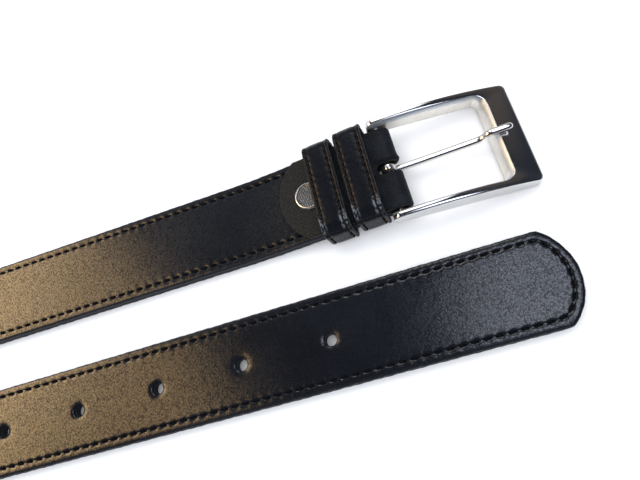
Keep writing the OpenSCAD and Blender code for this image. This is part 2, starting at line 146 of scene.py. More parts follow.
class Skin:
    """Gathers points in mm and faces, with a UV pair in metres for each corner of a face."""

    def __init__(self):
        self.points = []
        self.faces = []
        self.uvs = []
        self.materials = []

    def face(self, corners, uvs, material=0):
        self.faces.append(tuple(corners))
        self.uvs.append([(u * MM, v * MM) for u, v in uvs])
        self.materials.append(material)

    def grid(self, rows, uvs, materials=None):
        """Adds faces between rows of points. Where the UV rows have one more column, the rows are closed."""
        base = len(self.points)
        width = len(rows[0])
        for row in rows:
            self.points.extend(row)
        columns = width if len(uvs[0]) > width else width - 1
        for i in range(len(rows) - 1):
            for j in range(columns):
                k = (j + 1) % width
                a = base + i * width
                b = a + width
                self.face(
                    (a + j, a + k, b + k, b + j),
                    (uvs[i][j], uvs[i][j + 1], uvs[i + 1][j + 1], uvs[i + 1][j]),
                    materials[j] if materials else 0,
                )

    def triangles(self, plan, faces, place, material=0):
        """Adds a triangulated plan: place turns a plan point into a point in space."""
        base = len(self.points)
        self.points.extend(place(p) for p in plan)
        for f in faces:
            self.face([base + i for i in f], [(plan[i][0], plan[i][1]) for i in f], material)

    def build(self, name, materials, sharp=50, cap=True):
        mesh = bpy.data.meshes.new(name)
        mesh.from_pydata([Vector(p) * MM for p in self.points], [], self.faces)
        layer = mesh.uv_layers.new(name="UVMap")
        layer.data.foreach_set("uv", [c for face in self.uvs for pair in face for c in pair])
        mesh.polygons.foreach_set("material_index", self.materials)
        bm = bmesh.new()
        bm.from_mesh(mesh)
        bmesh.ops.remove_doubles(bm, verts=bm.verts, dist=2e-6)
        bmesh.ops.dissolve_degenerate(bm, edges=bm.edges, dist=1e-7)
        if cap:
            bmesh.ops.holes_fill(bm, edges=[e for e in bm.edges if e.is_boundary], sides=0)
        bmesh.ops.recalc_face_normals(bm, faces=bm.faces)
        bm.to_mesh(mesh)
        bm.free()
        mesh.polygons.foreach_set("use_smooth", [True] * len(mesh.polygons))
        mesh.set_sharp_from_angle(angle=math.radians(sharp))
        for material in materials:
            mesh.materials.append(material)
        piece = bpy.data.objects.new(name, mesh)
        bpy.context.scene.collection.objects.link(piece)
        return piece


def lerp(a, b, t):
    return a + (b - a) * t


def ease(x):
    c = min(1.0, max(0.0, x))
    return c * c * (3 - 2 * c)


def bump_at(x, centre, width):
    """A smooth bump of height 1 at centre."""
    return math.exp(-((x - centre) / width) ** 2)


def fill_plan(loops, inner, keep):
    """Triangulates plan points. loops are closed lines of points, inner are loose points, keep(x, y) says
    whether a triangle with that middle stays. The points keep their order."""
    plan = [Vector(p) for loop in loops for p in loop] + [Vector(p) for p in inner]
    edges = []
    base = 0
    for loop in loops:
        edges += [(base + i, base + (i + 1) % len(loop)) for i in range(len(loop))]
        base += len(loop)
    found = delaunay_2d_cdt(plan, edges, [], 0, 1e-6)
    faces = []
    for f in found[2]:
        x = sum(found[0][i].x for i in f) / 3
        y = sum(found[0][i].y for i in f) / 3
        if keep(x, y):
            faces.append(f)
    return found[0], faces


def ring(cx, cy, radius, count):
    """A circle of plan points."""
    turn = 2 * math.pi / count
    return [(cx + radius * math.cos(turn * i), cy + radius * math.sin(turn * i)) for i in range(count)]


def grid_points(x0, x1, y0, y1, step, keep):
    """Plan points in staggered rows, where keep(x, y) allows."""
    found = []
    rows = int((y1 - y0) / step)
    for j in range(rows + 1):
        y = y0 + (y1 - y0) * j / rows
        x = x0 + (step / 2 if j % 2 else 0)
        while x < x1:
            if keep(x, y):
                found.append((x, y))
            x += step
    return found


def along_track(track, s):
    """The place at distance s along a track of (length, function from distance to place)."""
    for length, place in track[:-1]:
        if s <= length:
            return place(s)
        s -= length
    return track[-1][1](s)


# ---- where the strap lies ----

def heading(s):
    """Heading of the loop's path at distance s from the tip's flexing line: 0 is -X, -pi is +X."""
    a = s - STRAIGHT_LEN
    b = a - FLARE_ARC
    c = b - ROUND_ARC
    d = c - FLARE_ARC
    if a <= 0:
        return 0.0
    if b <= 0:
        return a / FLARE_R
    if c <= 0:
        return FLARE - b / LOOP_R
    if d <= 0:
        return -math.pi - FLARE + c / FLARE_R
    return -math.pi


def path_at(s):
    """Centre of the loop's path, seen from above."""
    a = s - STRAIGHT_LEN
    b = a - FLARE_ARC
    c = b - ROUND_ARC
    d = c - FLARE_ARC
    g = heading(s)
    if a <= 0:
        return -FLAT_LEN - s, -LEG_GAP / 2
    if b <= 0:
        return FLARE_X - FLARE_R * math.sin(g), -LEG_GAP / 2 - FLARE_R * (1 - math.cos(g))
    if c <= 0:
        return LOOP_X + LOOP_R * math.sin(g), -LOOP_R * math.cos(g)
    if d <= 0:
        return FLARE_X - FLARE_R * math.sin(g), LEG_GAP / 2 + FLARE_R * (1 + math.cos(g))
    return FLARE_X + d, LEG_GAP / 2


def loop_frame(s):
    """Middle of the loop's cross-section, the direction across it and the direction out of its face."""
    g = heading(s)
    x, y = path_at(s)
    e = math.pi / 2 * ease(min(s, PATH_LEN - s) / TWIST_LEN)
    out = Vector((math.sin(g), -math.cos(g), 0))
    middle = Vector((x + SHIFT_X, y, HALF_W * math.sin(e) + TOP_V * math.cos(e)))
    return middle, out * math.cos(e) - UP * math.sin(e), out * math.sin(e) + UP * math.cos(e)


def on_raised_end(l, y, h):
    """A point of the raised buckle end."""
    return Vector((
        SHIFT_X - BEND_BACK + l * math.cos(LIFT) + (BEND_R - h) * math.sin(LIFT),
        LEG_GAP / 2 + y,
        BEND_R + l * math.sin(LIFT) - (BEND_R - h) * math.cos(LIFT),
    ))


FLAT_PART = FLAT_LEN - BEND_BACK
BEND_ARC = (BEND_R - TOP_V) * LIFT


def buckle_frame_at(q):
    """The same as loop_frame for the buckle leg, at distance q from its flexing line."""
    across = Vector((0, 1, 0))
    if q <= FLAT_PART:
        return Vector((SHIFT_X - FLAT_LEN + q, LEG_GAP / 2, TOP_V)), across, UP
    if q <= FLAT_PART + BEND_ARC:
        a = (q - FLAT_PART) / (BEND_R - TOP_V)
        x = SHIFT_X - BEND_BACK + (BEND_R - TOP_V) * math.sin(a)
        z = BEND_R - (BEND_R - TOP_V) * math.cos(a)
        return Vector((x, LEG_GAP / 2, z)), across, Vector((-math.sin(a), 0, math.cos(a)))
    middle = on_raised_end(q - FLAT_PART - BEND_ARC, 0, TOP_V)
    return middle, across, Vector((-math.sin(LIFT), 0, math.cos(LIFT)))


BUCKLE_LEG = FLAT_PART + BEND_ARC + STRAP_END_L


def on_tip_leg(x, y, v):
    """A point of the tip section: x and y from the last hole, v out of the middle of the strap."""
    return Vector((SHIFT_X + x, y - LEG_GAP / 2, TOP_V + v))


# ---- cross-section of the strap ----

# Distance from the edge, drop below the face half-way along a stitch, and drop at the needle's holes.
EDGE_ROWS = [
    (0.0, 0.60, 0.60), (0.10, 0.32, 0.32), (0.32, 0.14, 0.14), (0.8, 0.05, 0.05), (1.5, 0.02, 0.0),
    (2.1, 0.05, -0.05), (2.45, 0.24, -0.04), (2.8, 0.44, 0.04), (3.15, 0.24, -0.04), (3.5, 0.05, -0.05),
    (4.2, 0.02, 0.0), (5.2, 0.0, 0.0),
]
BACK_ROWS = [
    (0.0, 0.45, 0.45), (0.15, 0.2, 0.2), (0.5, 0.05, 0.05), (1.6, 0.0, 0.0), (2.4, 0.1, 0.2),
    (2.8, 0.25, 0.5), (3.2, 0.1, 0.2), (4.2, 0.0, 0.0), (5.2, 0.0, 0.0),
]
LAYER_BEVEL = 0.12                             # the two layers round away from the line where they meet
UNEVEN_W = 0.2                                 # rows nearer to the edge than this follow its uneven cut


def row_drop(row, station):
    """Drop of a row at a station: the thread presses a groove between the needle's holes."""
    phase = math.cos(2 * math.pi * (station % STITCH_STEPS) / STITCH_STEPS)
    return lerp(row[1], row[2], (1 + phase) / 2)


def edge_wobble(station, seed):
    """Small unevenness of a cut edge, in mm."""
    return 0.05 * math.sin(station * 1.7 + seed) + 0.04 * math.sin(station * 0.61 + 2.3 * seed)


def row_reaches(rows, station, seed):
    """How far each row lies from the strap's centre line."""
    return [HALF_W - row[0] + (edge_wobble(station, seed) if row[0] < UNEVEN_W else 0) for row in rows]


def layer_section(station, rows, face_v, join_v, seed):
    """Closed outline of one layer as (u, v) points: the outer face from u = +15 to -15, then the inner."""
    out = 1 if face_v > join_v else -1
    middle = [-8.0, -5.0, -2.5, 0.0, 2.5, 5.0, 8.0]
    heights = [face_v - out * row_drop(row, station) for row in rows]
    left = list(zip(row_reaches(rows, station, seed), heights))
    right = [(-u, v) for u, v in zip(row_reaches(rows, station, seed + 5), heights)]
    right.reverse()
    inner = [
        (-HALF_W, join_v + out * LAYER_BEVEL), (-HALF_W + LAYER_BEVEL, join_v), (-9, join_v), (0, join_v),
        (9, join_v), (HALF_W - LAYER_BEVEL, join_v), (HALF_W, join_v + out * LAYER_BEVEL),
    ]
    return left + [(-u, face_v) for u in middle] + right + inner


def swept_layer(name, count, frame_at, length, u_start, rows, face_v, join_v, seed, materials):
    """One layer of a section of strap with a constant outline."""
    points = []
    uvs = []
    for i in range(count + 1):
        middle, across, out = frame_at(length * i / count)
        section = layer_section(i, rows, face_v, join_v, seed)
        points.append([middle + across * u + out * v for u, v in section])
        around = []
        for j, (u, v) in enumerate(section + section[:1]):
            if j == 0:
                around.append(-HALF_W)
            else:
                last = section[j - 1]
                around.append(around[-1] + math.hypot(u - last[0], v - last[1]))
        uvs.append([(u_start - length * i / count, w) for w in around])
    skin = Skin()
    n = 2 * len(rows) + 7
    walls = [0] * (n - 1) + [1] * (len(section) - n + 1)
    walls[0] = walls[n - 2] = 1
    skin.grid(points, uvs, walls)
    return skin.build(name, materials)


# ---- thread ----

# Share of the stitch, height above the face and radius as a share of THREAD_R, along one stitch.
STITCH_RINGS = [
    (0.0, -1.00, 0.7), (0.09, -0.50, 0.9), (0.24, -0.24, 1.1), (0.5, -0.16, 1.15), (0.76, -0.24, 1.1),
    (0.91, -0.50, 0.9), (1.0, -1.00, 0.7),
]


def stitch(skin, start, end, out, radius, depth):
    """One stitch of thread between two needle holes, as a short arched rope."""
    along = (end - start).normalized()
    side = along.cross(out).normalized()
    rows = []
    uvs = []
    for share, height, thick in STITCH_RINGS:
        centre = start.lerp(end, share) + out * (height * depth) + side * (STITCH_SKEW * (2 * share - 1))
        r = radius * thick
        angles = [2 * math.pi * k / THREAD_SIDES for k in range(THREAD_SIDES)]
        rows.append([centre + side * (r * math.cos(a)) + out * (r * math.sin(a)) for a in angles])
        distance = share * (end - start).length
        uvs.append([(distance, 2 * math.pi * radius * k / THREAD_SIDES) for k in range(THREAD_SIDES + 1)])
    skin.grid(rows, uvs)


def stitch_line(skin, stations, radius, depth):
    """Stitches between needle holes given as (point, direction out of the face)."""
    for (a, out_a), (b, out_b) in zip(stations, stations[1:]):
        stitch(skin, a, b, (out_a + out_b).normalized(), radius, depth)


# The strap's face and its back: height, direction out, radius of the thread and depth of its stitches.
SEAM_SIDES = [(TOP_V, 1, THREAD_R, 1.0), (-TOP_V, -1, BACK_THREAD_R, BACK_THREAD_DEPTH)]


def swept_thread(name, stitches, frame_at, length, material):
    """Both seams of a section of strap, on its face and on its back."""
    skin = Skin()
    for u in (-(HALF_W - SEAM_INSET), HALF_W - SEAM_INSET):
        for v, out_sign, radius, depth in SEAM_SIDES:
            stations = []
            for i in range(stitches + 1):
                middle, across, out = frame_at(length * i / stitches)
                stations.append((middle + across * u + out * v, out * out_sign))
            stitch_line(skin, stations, radius, depth)
    return skin.build(name, [material], sharp=80)


# ---- tip section ----

ARC_X = TIP_LEN - TIP_R                        # centre of the tip's round end
SEAM_FILLET = 5.0                              # how the seam rounds the two corners of the tip


def tip_seam_track():
    """Pieces of the tip's seam, as (length, function from distance to (point, direction inward))."""
    h = HALF_W - SEAM_INSET
    big = TIP_R - SEAM_INSET
    fillet_x = ARC_X + math.sqrt((big - SEAM_FILLET) ** 2 - (h - SEAM_FILLET) ** 2)
    corner = math.atan2(-(h - SEAM_FILLET), fillet_x - ARC_X)
    straight = fillet_x + FLAT_LEN
    turn = corner + math.pi / 2

    def near_line(s):
        return Vector((-FLAT_LEN + s, -h)), Vector((0, 1))

    def arc(x, y, radius, start):
        def place(s):
            a = start + s / radius
            d = Vector((math.cos(a), math.sin(a)))
            return Vector((x, y)) + d * radius, -d
        return place

    def far_line(s):
        return Vector((fillet_x - s, h)), Vector((0, -1))

    return [
        (straight, near_line),
        (turn * SEAM_FILLET, arc(fillet_x, -(h - SEAM_FILLET), SEAM_FILLET, -math.pi / 2)),
        (-2 * corner * big, arc(ARC_X, 0, big, corner)),
        (turn * SEAM_FILLET, arc(fillet_x, h - SEAM_FILLET, SEAM_FILLET, -corner)),
        (straight, far_line),
    ]


TIP_TRACK = tip_seam_track()
TIP_SEAM_LEN = sum(length for length, _ in TIP_TRACK)
TIP_STITCHES = round(TIP_SEAM_LEN / STITCH)
TIP_STATIONS = TIP_STITCHES * STITCH_STEPS


def tip_reach(point, inward):
    """Distance from a seam point straight out to the strap's edge."""
    d = -inward
    reach = 2 * SEAM_INSET
    if abs(d.y) > 1e-6:
        edge = HALF_W if d.y > 0 else -HALF_W
        reach = min(reach, (edge - point.y) / d.y)
    if point.x > ARC_X:
        q = point - Vector((ARC_X, 0))
        b = q.dot(d)
        reach = min(reach, -b + math.sqrt(b * b - q.dot(q) + TIP_R * TIP_R))
    return reach


def tip_row(row, seed):
    """Plan points of one row of the edge band, from the flexing line around the tip and back."""
    inset = row[0]
    points = []
    for i in range(TIP_STATIONS + 1):
        point, inward = along_track(TIP_TRACK, TIP_SEAM_LEN * i / TIP_STATIONS)
        if inset < SEAM_INSET:
            reach = tip_reach(point, inward) * (SEAM_INSET - inset) / SEAM_INSET
            if inset < UNEVEN_W:
                reach += edge_wobble(i, seed)
            points.append(point - inward * reach)
        else:
            points.append(point + inward * (inset - SEAM_INSET))
    return points


HOLES_X = [-HOLE_PITCH * i for i in range(HOLE_COUNT)]
HOLE_SIDES = 32
# Radius around a hole and drop of the face there, on the leather and on the backing.
HOLE_RINGS = [
    (HOLE_R, 0.80), (2.02, 0.42), (2.12, 0.26), (2.55, 0.17), (3.0, 0.08), (3.5, 0.02), (4.2, 0.0),
]


def hole_drop(x, y):
    """Drop of the face around the holes."""
    near = min(math.hypot(x - hx, y) for hx in HOLES_X)
    for (r0, d0), (r1, d1) in zip(HOLE_RINGS, HOLE_RINGS[1:]):
        if near <= r1:
            return lerp(d0, d1, max(0.0, (near - r0) / (r1 - r0)))
    return 0.0


def outside_holes(x, y, margin=0.0):
    return all(math.hypot(x - hx, y) > HOLE_R + margin for hx in HOLES_X)


def tip_layer(name, rows, face_v, join_v, seed, materials):
    """One layer of the tip section, with its holes and its rounded end."""
    out = 1 if face_v > join_v else -1
    skin = Skin()
    plans = [tip_row(row, seed) for row in rows]
    band = []
    for i in range(TIP_STATIONS + 1):
        band.append([
            on_tip_leg(plan[i].x, plan[i].y, face_v - out * row_drop(row, i))
            for plan, row in zip(plans, rows)
        ])
    band_uvs = [[(plan[i].x, plan[i].y) for plan in plans] for i in range(TIP_STATIONS + 1)]
    skin.grid(band, band_uvs, [1] + [0] * (len(rows) - 2))

    # the face inside the edge band
    border = [tuple(p) for p in plans[-1]]
    width = border[-1][1] - border[0][1]
    closing = [(-FLAT_LEN, border[-1][1] - width * k / 10) for k in range(1, 10)]
    hole_loops = [ring(hx, 0, HOLE_R, HOLE_SIDES) for hx in HOLES_X]
    inner = [p for hx in HOLES_X for r, _ in HOLE_RINGS[1:] for p in ring(hx, 0, r, HOLE_SIDES)]
    limit_y = HALF_W - rows[-1][0] - 1.5

    def clear_of_border(x, y):
        inside = math.hypot(x - ARC_X, y) < TIP_R - rows[-1][0] - 1.5 or x < ARC_X
        return inside and outside_holes(x, y, 3.0)

    inner += grid_points(-FLAT_LEN + 2, TIP_LEN, -limit_y, limit_y, 2.2, clear_of_border)
    plan, faces = fill_plan([border + closing] + hole_loops, inner, outside_holes)
    skin.triangles(plan, faces, lambda p: on_tip_leg(p.x, p.y, face_v - out * hole_drop(p.x, p.y)))

    # the side walls and the holes' walls
    edge = plans[0]
    heights = [face_v - out * rows[0][1], join_v + out * LAYER_BEVEL, join_v]
    insets = [0.0, 0.0, LAYER_BEVEL]
    wall = []
    wall_uvs = []
    rim = []
    for i in range(TIP_STATIONS + 1):
        s = TIP_SEAM_LEN * i / TIP_STATIONS
        _, inward = along_track(TIP_TRACK, s)
        wall.append([on_tip_leg(*(edge[i] + inward * inset), v) for inset, v in zip(insets, heights)])
        wall_uvs.append([(s, v) for v in heights])
        rim.append(tuple(edge[i] + inward * LAYER_BEVEL))
    skin.grid(wall, wall_uvs, [1, 1])
    top_v = face_v - out * HOLE_RINGS[0][1]
    levels = (top_v, lerp(top_v, join_v, 0.5), join_v)
    turns = [2 * math.pi * HOLE_R * k / HOLE_SIDES for k in range(HOLE_SIDES + 1)]
    for loop in hole_loops:
        hole_wall = [[on_tip_leg(x, y, v) for x, y in loop] for v in levels]
        skin.grid(hole_wall, [[(t, v) for t in turns] for v in levels], [1] * HOLE_SIDES)

    # the face that lies against the other layer
    plan, faces = fill_plan([rim] + hole_loops, [], outside_holes)
    skin.triangles(plan, faces, lambda p: on_tip_leg(p.x, p.y, join_v), 1)
    return skin.build(name, materials)


def tip_thread(name, material):
    skin = Skin()
    for v, out_sign, radius, depth in SEAM_SIDES:
        stations = []
        for i in range(TIP_STITCHES + 1):
            point, _ = along_track(TIP_TRACK, TIP_SEAM_LEN * i / TIP_STITCHES)
            stations.append((on_tip_leg(point.x, point.y, v), UP * out_sign))
        stitch_line(skin, stations, radius, depth)
    return skin.build(name, [material], sharp=80)


# ---- chape ----

UPPER_LEG = RAISED_LEN - TAB_L
FOLD_LEN = math.pi * (FOLD_R + CHAPE_T / 2)
LOWER_LEG = RAISED_LEN - LOWER_LEG_L
CHAPE_LEN = UPPER_LEG + FOLD_LEN + LOWER_LEG
FOLD_BULGE = 1.25                              # how far the fold stands loosely beyond the bar
SLOT_W0 = SLOT_L - TAB_L                       # the slot's two ends along the unrolled chape
SLOT_W1 = UPPER_LEG + FOLD_LEN + RAISED_LEN - SLOT_L


def chape_point(w, y, v):
    """Folds the flat chape: w from the tab's end, v from its inner face."""
    if w <= UPPER_LEG:
        return on_raised_end(TAB_L + w, y, BAR_H + FOLD_R + v)
    if w <= UPPER_LEG + FOLD_LEN:
        a = math.pi / 2 - math.pi * (w - UPPER_LEG) / FOLD_LEN
        r = FOLD_R + v
        reach = r + FOLD_BULGE - 0.012 * y
        return on_raised_end(RAISED_LEN + reach * math.cos(a), y, BAR_H + r * math.sin(a))
    return on_raised_end(RAISED_LEN - (w - UPPER_LEG - FOLD_LEN), y, BAR_H - FOLD_R - v)


def chape_outline(inset):
    """Plan of the flat chape, drawn in by inset: a round tab, straight sides and a straight end."""
    h = CHAPE_W / 2 - inset
    r = TAB_R - inset
    start = math.asin(h / r)
    count = 40
    points = []
    for i in range(count + 1):
        a = math.pi - start + 2 * start * i / count
        points.append((TAB_R + r * math.cos(a), r * math.sin(a)))
    first = points[0][0]
    steps = 70
    end = CHAPE_LEN - inset
    sides = [first + (end - first) * i / steps for i in range(1, steps + 1)]
    near = [(w, -h) for w in sides]
    far = [(w, h) for w in reversed(sides)]
    across = [(end, -h + 2 * h * i / 14) for i in range(1, 14)]
    return points + near + across + far


def slot_outline(grow):
    """Plan of the prong's slot in the flat chape."""
    r = SLOT_W / 2 + grow
    first = SLOT_W0 + SLOT_W / 2
    last = SLOT_W1 - SLOT_W / 2
    steps = 20
    turn_steps = 12

    def round_end(x, start):
        angles = [start + math.pi * i / turn_steps for i in range(turn_steps + 1)]
        return [(x + r * math.cos(a), r * math.sin(a)) for a in angles]

    points = round_end(first, math.pi / 2)
    points += [(first + (last - first) * i / steps, -r) for i in range(1, steps)]
    points += round_end(last, -math.pi / 2)
    points += [(last - (last - first) * i / steps, r) for i in range(1, steps)]
    return points


def slot_distance(w, y):
    """Distance from the slot's edge, negative inside the slot."""
    first = SLOT_W0 + SLOT_W / 2
    last = SLOT_W1 - SLOT_W / 2
    return math.hypot(w - min(max(w, first), last), y) - SLOT_W / 2


def chape_edge_distance(w, y):
    """Distance from the chape's outer edge."""
    side = CHAPE_W / 2 - abs(y)
    tab = TAB_R - math.hypot(w - TAB_R, y) if w < TAB_R else side
    return min(side, tab, CHAPE_LEN - w)


def chape_face(w, y):
    """Height of the chape's outer face over its inner face."""
    edge = chape_edge_distance(w, y)
    lip = slot_distance(w, y)
    v = CHAPE_T
    v -= 0.30 * (1 - ease(edge / 0.5)) + 0.25 * (1 - ease(lip / 0.45))
    # the far lip of the slot is pulled up into a roll
    roll = ease((w - SLOT_W0 + 1) / 3) * (1 - ease((w - UPPER_LEG - FOLD_LEN / 2) / 2))
    v += 0.45 * roll * bump_at(y, SLOT_W / 2 + 1.1, 0.8)
    # the leather sinks a little around the rivet
    v -= 0.12 * bump_at(math.hypot(w - RIVET_L + TAB_L, y), CAP_R + 0.2, 0.9)
    return v


def chape_piece(name, materials):
    skin = Skin()
    outline = chape_outline(0)
    slot = slot_outline(0)

    def keep(w, y):
        return slot_distance(w, y) > -0.01

    inner = []
    for inset in (0.12, 0.3, 0.55, 1.1):
        inner += chape_outline(inset)
    for grow in (0.12, 0.3, 0.55, 1.0):
        inner += slot_outline(grow)

    def open_face(w, y):
        return chape_edge_distance(w, y) > 1.8 and slot_distance(w, y) > 1.5

    half = CHAPE_W / 2
    inner += grid_points(0, UPPER_LEG - 1, -half, half, 1.3, open_face)
    fold_steps = 14
    columns = 22
    across = [-half + CHAPE_W * k / columns for k in range(columns + 1)]
    for i in range(fold_steps + 1):
        w = UPPER_LEG + FOLD_LEN * i / fold_steps
        inner += [(w, y) for y in across if open_face(w, y)]
    inner += grid_points(UPPER_LEG + FOLD_LEN + 1, CHAPE_LEN, -half, half, 2.4, open_face)
    plan, faces = fill_plan([outline, slot], inner, keep)
    skin.triangles(plan, faces, lambda p: chape_point(p.x, p.y, chape_face(p.x, p.y)))
    skin.triangles(plan, faces, lambda p: chape_point(p.x, p.y, 0.0), 1)
    for loop in (outline, slot):
        levels = (0.0, 0.5, 1.0)
        rows = [[chape_point(w, y, chape_face(w, y) * t) for w, y in loop] for t in levels]
        length = 0.0
        turns = [0.0]
        for a, b in zip(loop, loop[1:] + loop[:1]):
            length += math.hypot(b[0] - a[0], b[1] - a[1])
            turns.append(length)
        skin.grid(rows, [[(t, CHAPE_T * k) for t in turns] for k in levels], [1] * len(loop))
    return skin.build(name, materials, cap=False)


# ---- keepers ----

KEEPER_IN_W = STRAP_W + 2 * KEEPER_SHIFT + 1
KEEPER_FLOOR = UNDER_H - 0.1
KEEPER_ROOF = TOP_H + KEEPER_GAP
LOW_CORNER = 0.9
HIGH_CORNER = 3.4
KEEPER_SEAM = 1.4

# Distance across the band, and height over its face half-way along a stitch and at the needle's holes.
KEEPER_ROWS = [
    (0.0, -0.45, -0.45), (0.12, -0.18, -0.18), (0.4, -0.05, -0.05), (0.85, 0.0, -0.02), (1.1, -0.05, -0.20),
    (1.4, -0.12, -0.45), (1.7, -0.05, -0.20), (2.1, 0.0, -0.02), (3.2, 0.02, 0.02), (4.8, 0.03, 0.03),
    (6.2, 0.02, 0.02), (7.0, 0.0, -0.02), (7.4, -0.04, -0.10), (7.75, -0.08, -0.25), (8.05, -0.14, -0.50),
    (8.35, -0.03, -0.22), (8.7, 0.08, 0.04), (9.1, 0.12, 0.12), (9.4, 0.06, 0.06), (9.6, -0.22, -0.22),
]


def keeper_track():
    """Pieces of the keeper's inner outline from the middle of its underside, as (length, place(s))."""
    w = KEEPER_IN_W / 2
    pieces = []

    def line(x0, h0, dx, dh, length, nx, nh):
        pieces.append((length, lambda s: (x0 + dx * s, h0 + dh * s, nx, nh)))

    def corner(cx, ch, radius, start):
        def place(s):
            a = start + s / radius
            return cx + radius * math.cos(a), ch + radius * math.sin(a), math.cos(a), math.sin(a)
        pieces.append((radius * math.pi / 2, place))

    side = KEEPER_ROOF - HIGH_CORNER - KEEPER_FLOOR - LOW_CORNER
    line(0, KEEPER_FLOOR, 1, 0, w - LOW_CORNER, 0, -1)
    corner(w - LOW_CORNER, KEEPER_FLOOR + LOW_CORNER, LOW_CORNER, -math.pi / 2)
    line(w, KEEPER_FLOOR + LOW_CORNER, 0, 1, side, 1, 0)
    corner(w - HIGH_CORNER, KEEPER_ROOF - HIGH_CORNER, HIGH_CORNER, 0)
    line(w - HIGH_CORNER, KEEPER_ROOF, -1, 0, 2 * (w - HIGH_CORNER), 0, 1)
    corner(HIGH_CORNER - w, KEEPER_ROOF - HIGH_CORNER, HIGH_CORNER, math.pi / 2)
    line(-w, KEEPER_ROOF - HIGH_CORNER, 0, -1, side, -1, 0)
    corner(LOW_CORNER - w, KEEPER_FLOOR + LOW_CORNER, LOW_CORNER, math.pi)
    line(LOW_CORNER - w, KEEPER_FLOOR, 1, 0, w - LOW_CORNER, 0, -1)
    return pieces


KEEPER_TRACK = keeper_track()
KEEPER_LOOP = sum(length for length, _ in KEEPER_TRACK)
NEAR_TURN = sum(length for length, _ in KEEPER_TRACK[:5]) + 1.0      # where the roof starts to turn down
KEEPER_STITCHES = round(KEEPER_LOOP / KEEPER_STITCH)


def keeper_point(l, shift_y, s, across, grow):
    """A point of a keeper: s around its loop, across its band, grow out from its inner face."""
    y, h, ny, nh = along_track(KEEPER_TRACK, s)
    crown = 0.15 * bump_at(y, 0, KEEPER_IN_W / 3) if nh > 0.9 else 0.0
    return on_raised_end(l + across, shift_y + y + ny * grow, h + nh * grow + crown)


def keeper_piece(name, l, shift_y, seed, materials):
    skin = Skin()
    stations = KEEPER_STITCHES * STITCH_STEPS
    rows = []
    uvs = []
    inner = [(9.5, 0.0), (7.2, 0.0), (4.8, 0.0), (2.4, 0.0), (0.1, 0.0)]
    for i in range(stations):
        s = KEEPER_LOOP * i / stations
        section = []
        for across, middle, needle in KEEPER_ROWS:
            phase = math.cos(2 * math.pi * (i % STITCH_STEPS) / STITCH_STEPS)
            height = lerp(middle, needle, (1 + phase) / 2)
            at_edge = across in (0.0, KEEPER_W)
            section.append((across + (edge_wobble(i, seed) if at_edge else 0.0), KEEPER_T + height))
        section += inner
        rows.append([keeper_point(l, shift_y, s, a, g) for a, g in section])
    around = [0.0]
    for (a0, g0), (a1, g1) in zip(section, section[1:] + section[:1]):
        around.append(around[-1] + math.hypot(a1 - a0, g1 - g0))
    for i in range(stations + 1):
        uvs.append([(KEEPER_LOOP * i / stations, w) for w in around])
    rows.append(rows[0])
    n = len(KEEPER_ROWS)
    materials_of = [0] * (n - 1) + [1] * (len(section) - n + 1)
    materials_of[0] = materials_of[n - 2] = 1
    skin.grid(rows, uvs, materials_of)
    return skin.build(name, materials, cap=False)


def keeper_thread(name, l, shift_y, material):
    skin = Skin()
    for across in (KEEPER_SEAM, KEEPER_W - KEEPER_SEAM - 0.15):
        stations = []
        for i in range(KEEPER_STITCHES + 1):
            s = KEEPER_LOOP * (i % KEEPER_STITCHES) / KEEPER_STITCHES
            point = keeper_point(l, shift_y, s, across, KEEPER_T + 0.08)
            out = keeper_point(l, shift_y, s, across, KEEPER_T + 1.08) - point
            stations.append((point, out))
        stitch_line(skin, stations, KEEPER_THREAD_R, KEEPER_THREAD_DEPTH)
    return skin.build(name, [material], sharp=80)


def keeper_staple(name, l, shift_y, material):
    """The back of a staple of round wire, which dips a little at its two ends."""
    radius = 0.28
    half = 3.0
    depth = KEEPER_FLOOR - radius
    middle_l = l + KEEPER_W / 2
    track = [
        (-half, depth - 0.02), (-half + 0.15, depth), (-half + 1.0, depth), (0, depth),
        (half - 1.0, depth), (half - 0.15, depth), (half, depth - 0.02),
    ]
    skin = Skin()
    sides = 8
    rows = []
    uvs = []
    for i, (y, h) in enumerate(track):
        circle = ring(middle_l, h, radius, sides)
        rows.append([on_raised_end(wire_l, shift_y + y, wire_h) for wire_l, wire_h in circle])
        uvs.append([(i, k * 0.2) for k in range(sides + 1)])
    skin.grid(rows, uvs)
    return skin.build(name, [material])


# ---- rivet ----

def lathe(skin, profile, place, sides):
    """Turns a profile of (radius, height) points; place(x, y, height) puts the points in space."""
    rows = []
    uvs = []
    for i, (r, h) in enumerate(profile):
        rows.append([place(x, y, h) for x, y in ring(0, 0, r, sides)])
        uvs.append([(2 * math.pi * r * k / sides, i * 0.3) for k in range(sides + 1)])
    skin.grid(rows, uvs)


def rivet_piece(name, materials):
    """Rivet cap: a bright rolled ring around a middle with a generic knurl."""
    skin = Skin()

    def place(x, y, h):
        return on_raised_end(RIVET_L + x, y, TOP_H - 0.08 + h)

    ring_profile = [
        (CAP_R - 0.25, 0.0), (CAP_R, 0.12), (CAP_R, 0.35), (CAP_R - 0.08, 0.62), (CAP_R - 0.25, 0.88),
        (CAP_R - 0.48, 1.02), (CAP_R - 0.68, 1.02), (CAP_R - 0.84, 0.92), (CAP_R - 0.9, 0.78),
    ]
    sides = 96
    lathe(skin, ring_profile, place, sides)
    floor_r = CAP_R - 0.9
    rings = 12
    rows = []
    uvs = []
    for i in range(rings):
        r = floor_r * (1 - i / rings)
        rows.append([place(x, y, 0.78) for x, y in ring(0, 0, r, sides)])
        uvs.append([(r * math.cos(2 * math.pi * k / sides), r * math.sin(2 * math.pi * k / sides))
                    for k in range(sides + 1)])
    skin.grid(rows, uvs, [1] * sides)
    return skin.build(name, materials, sharp=70)


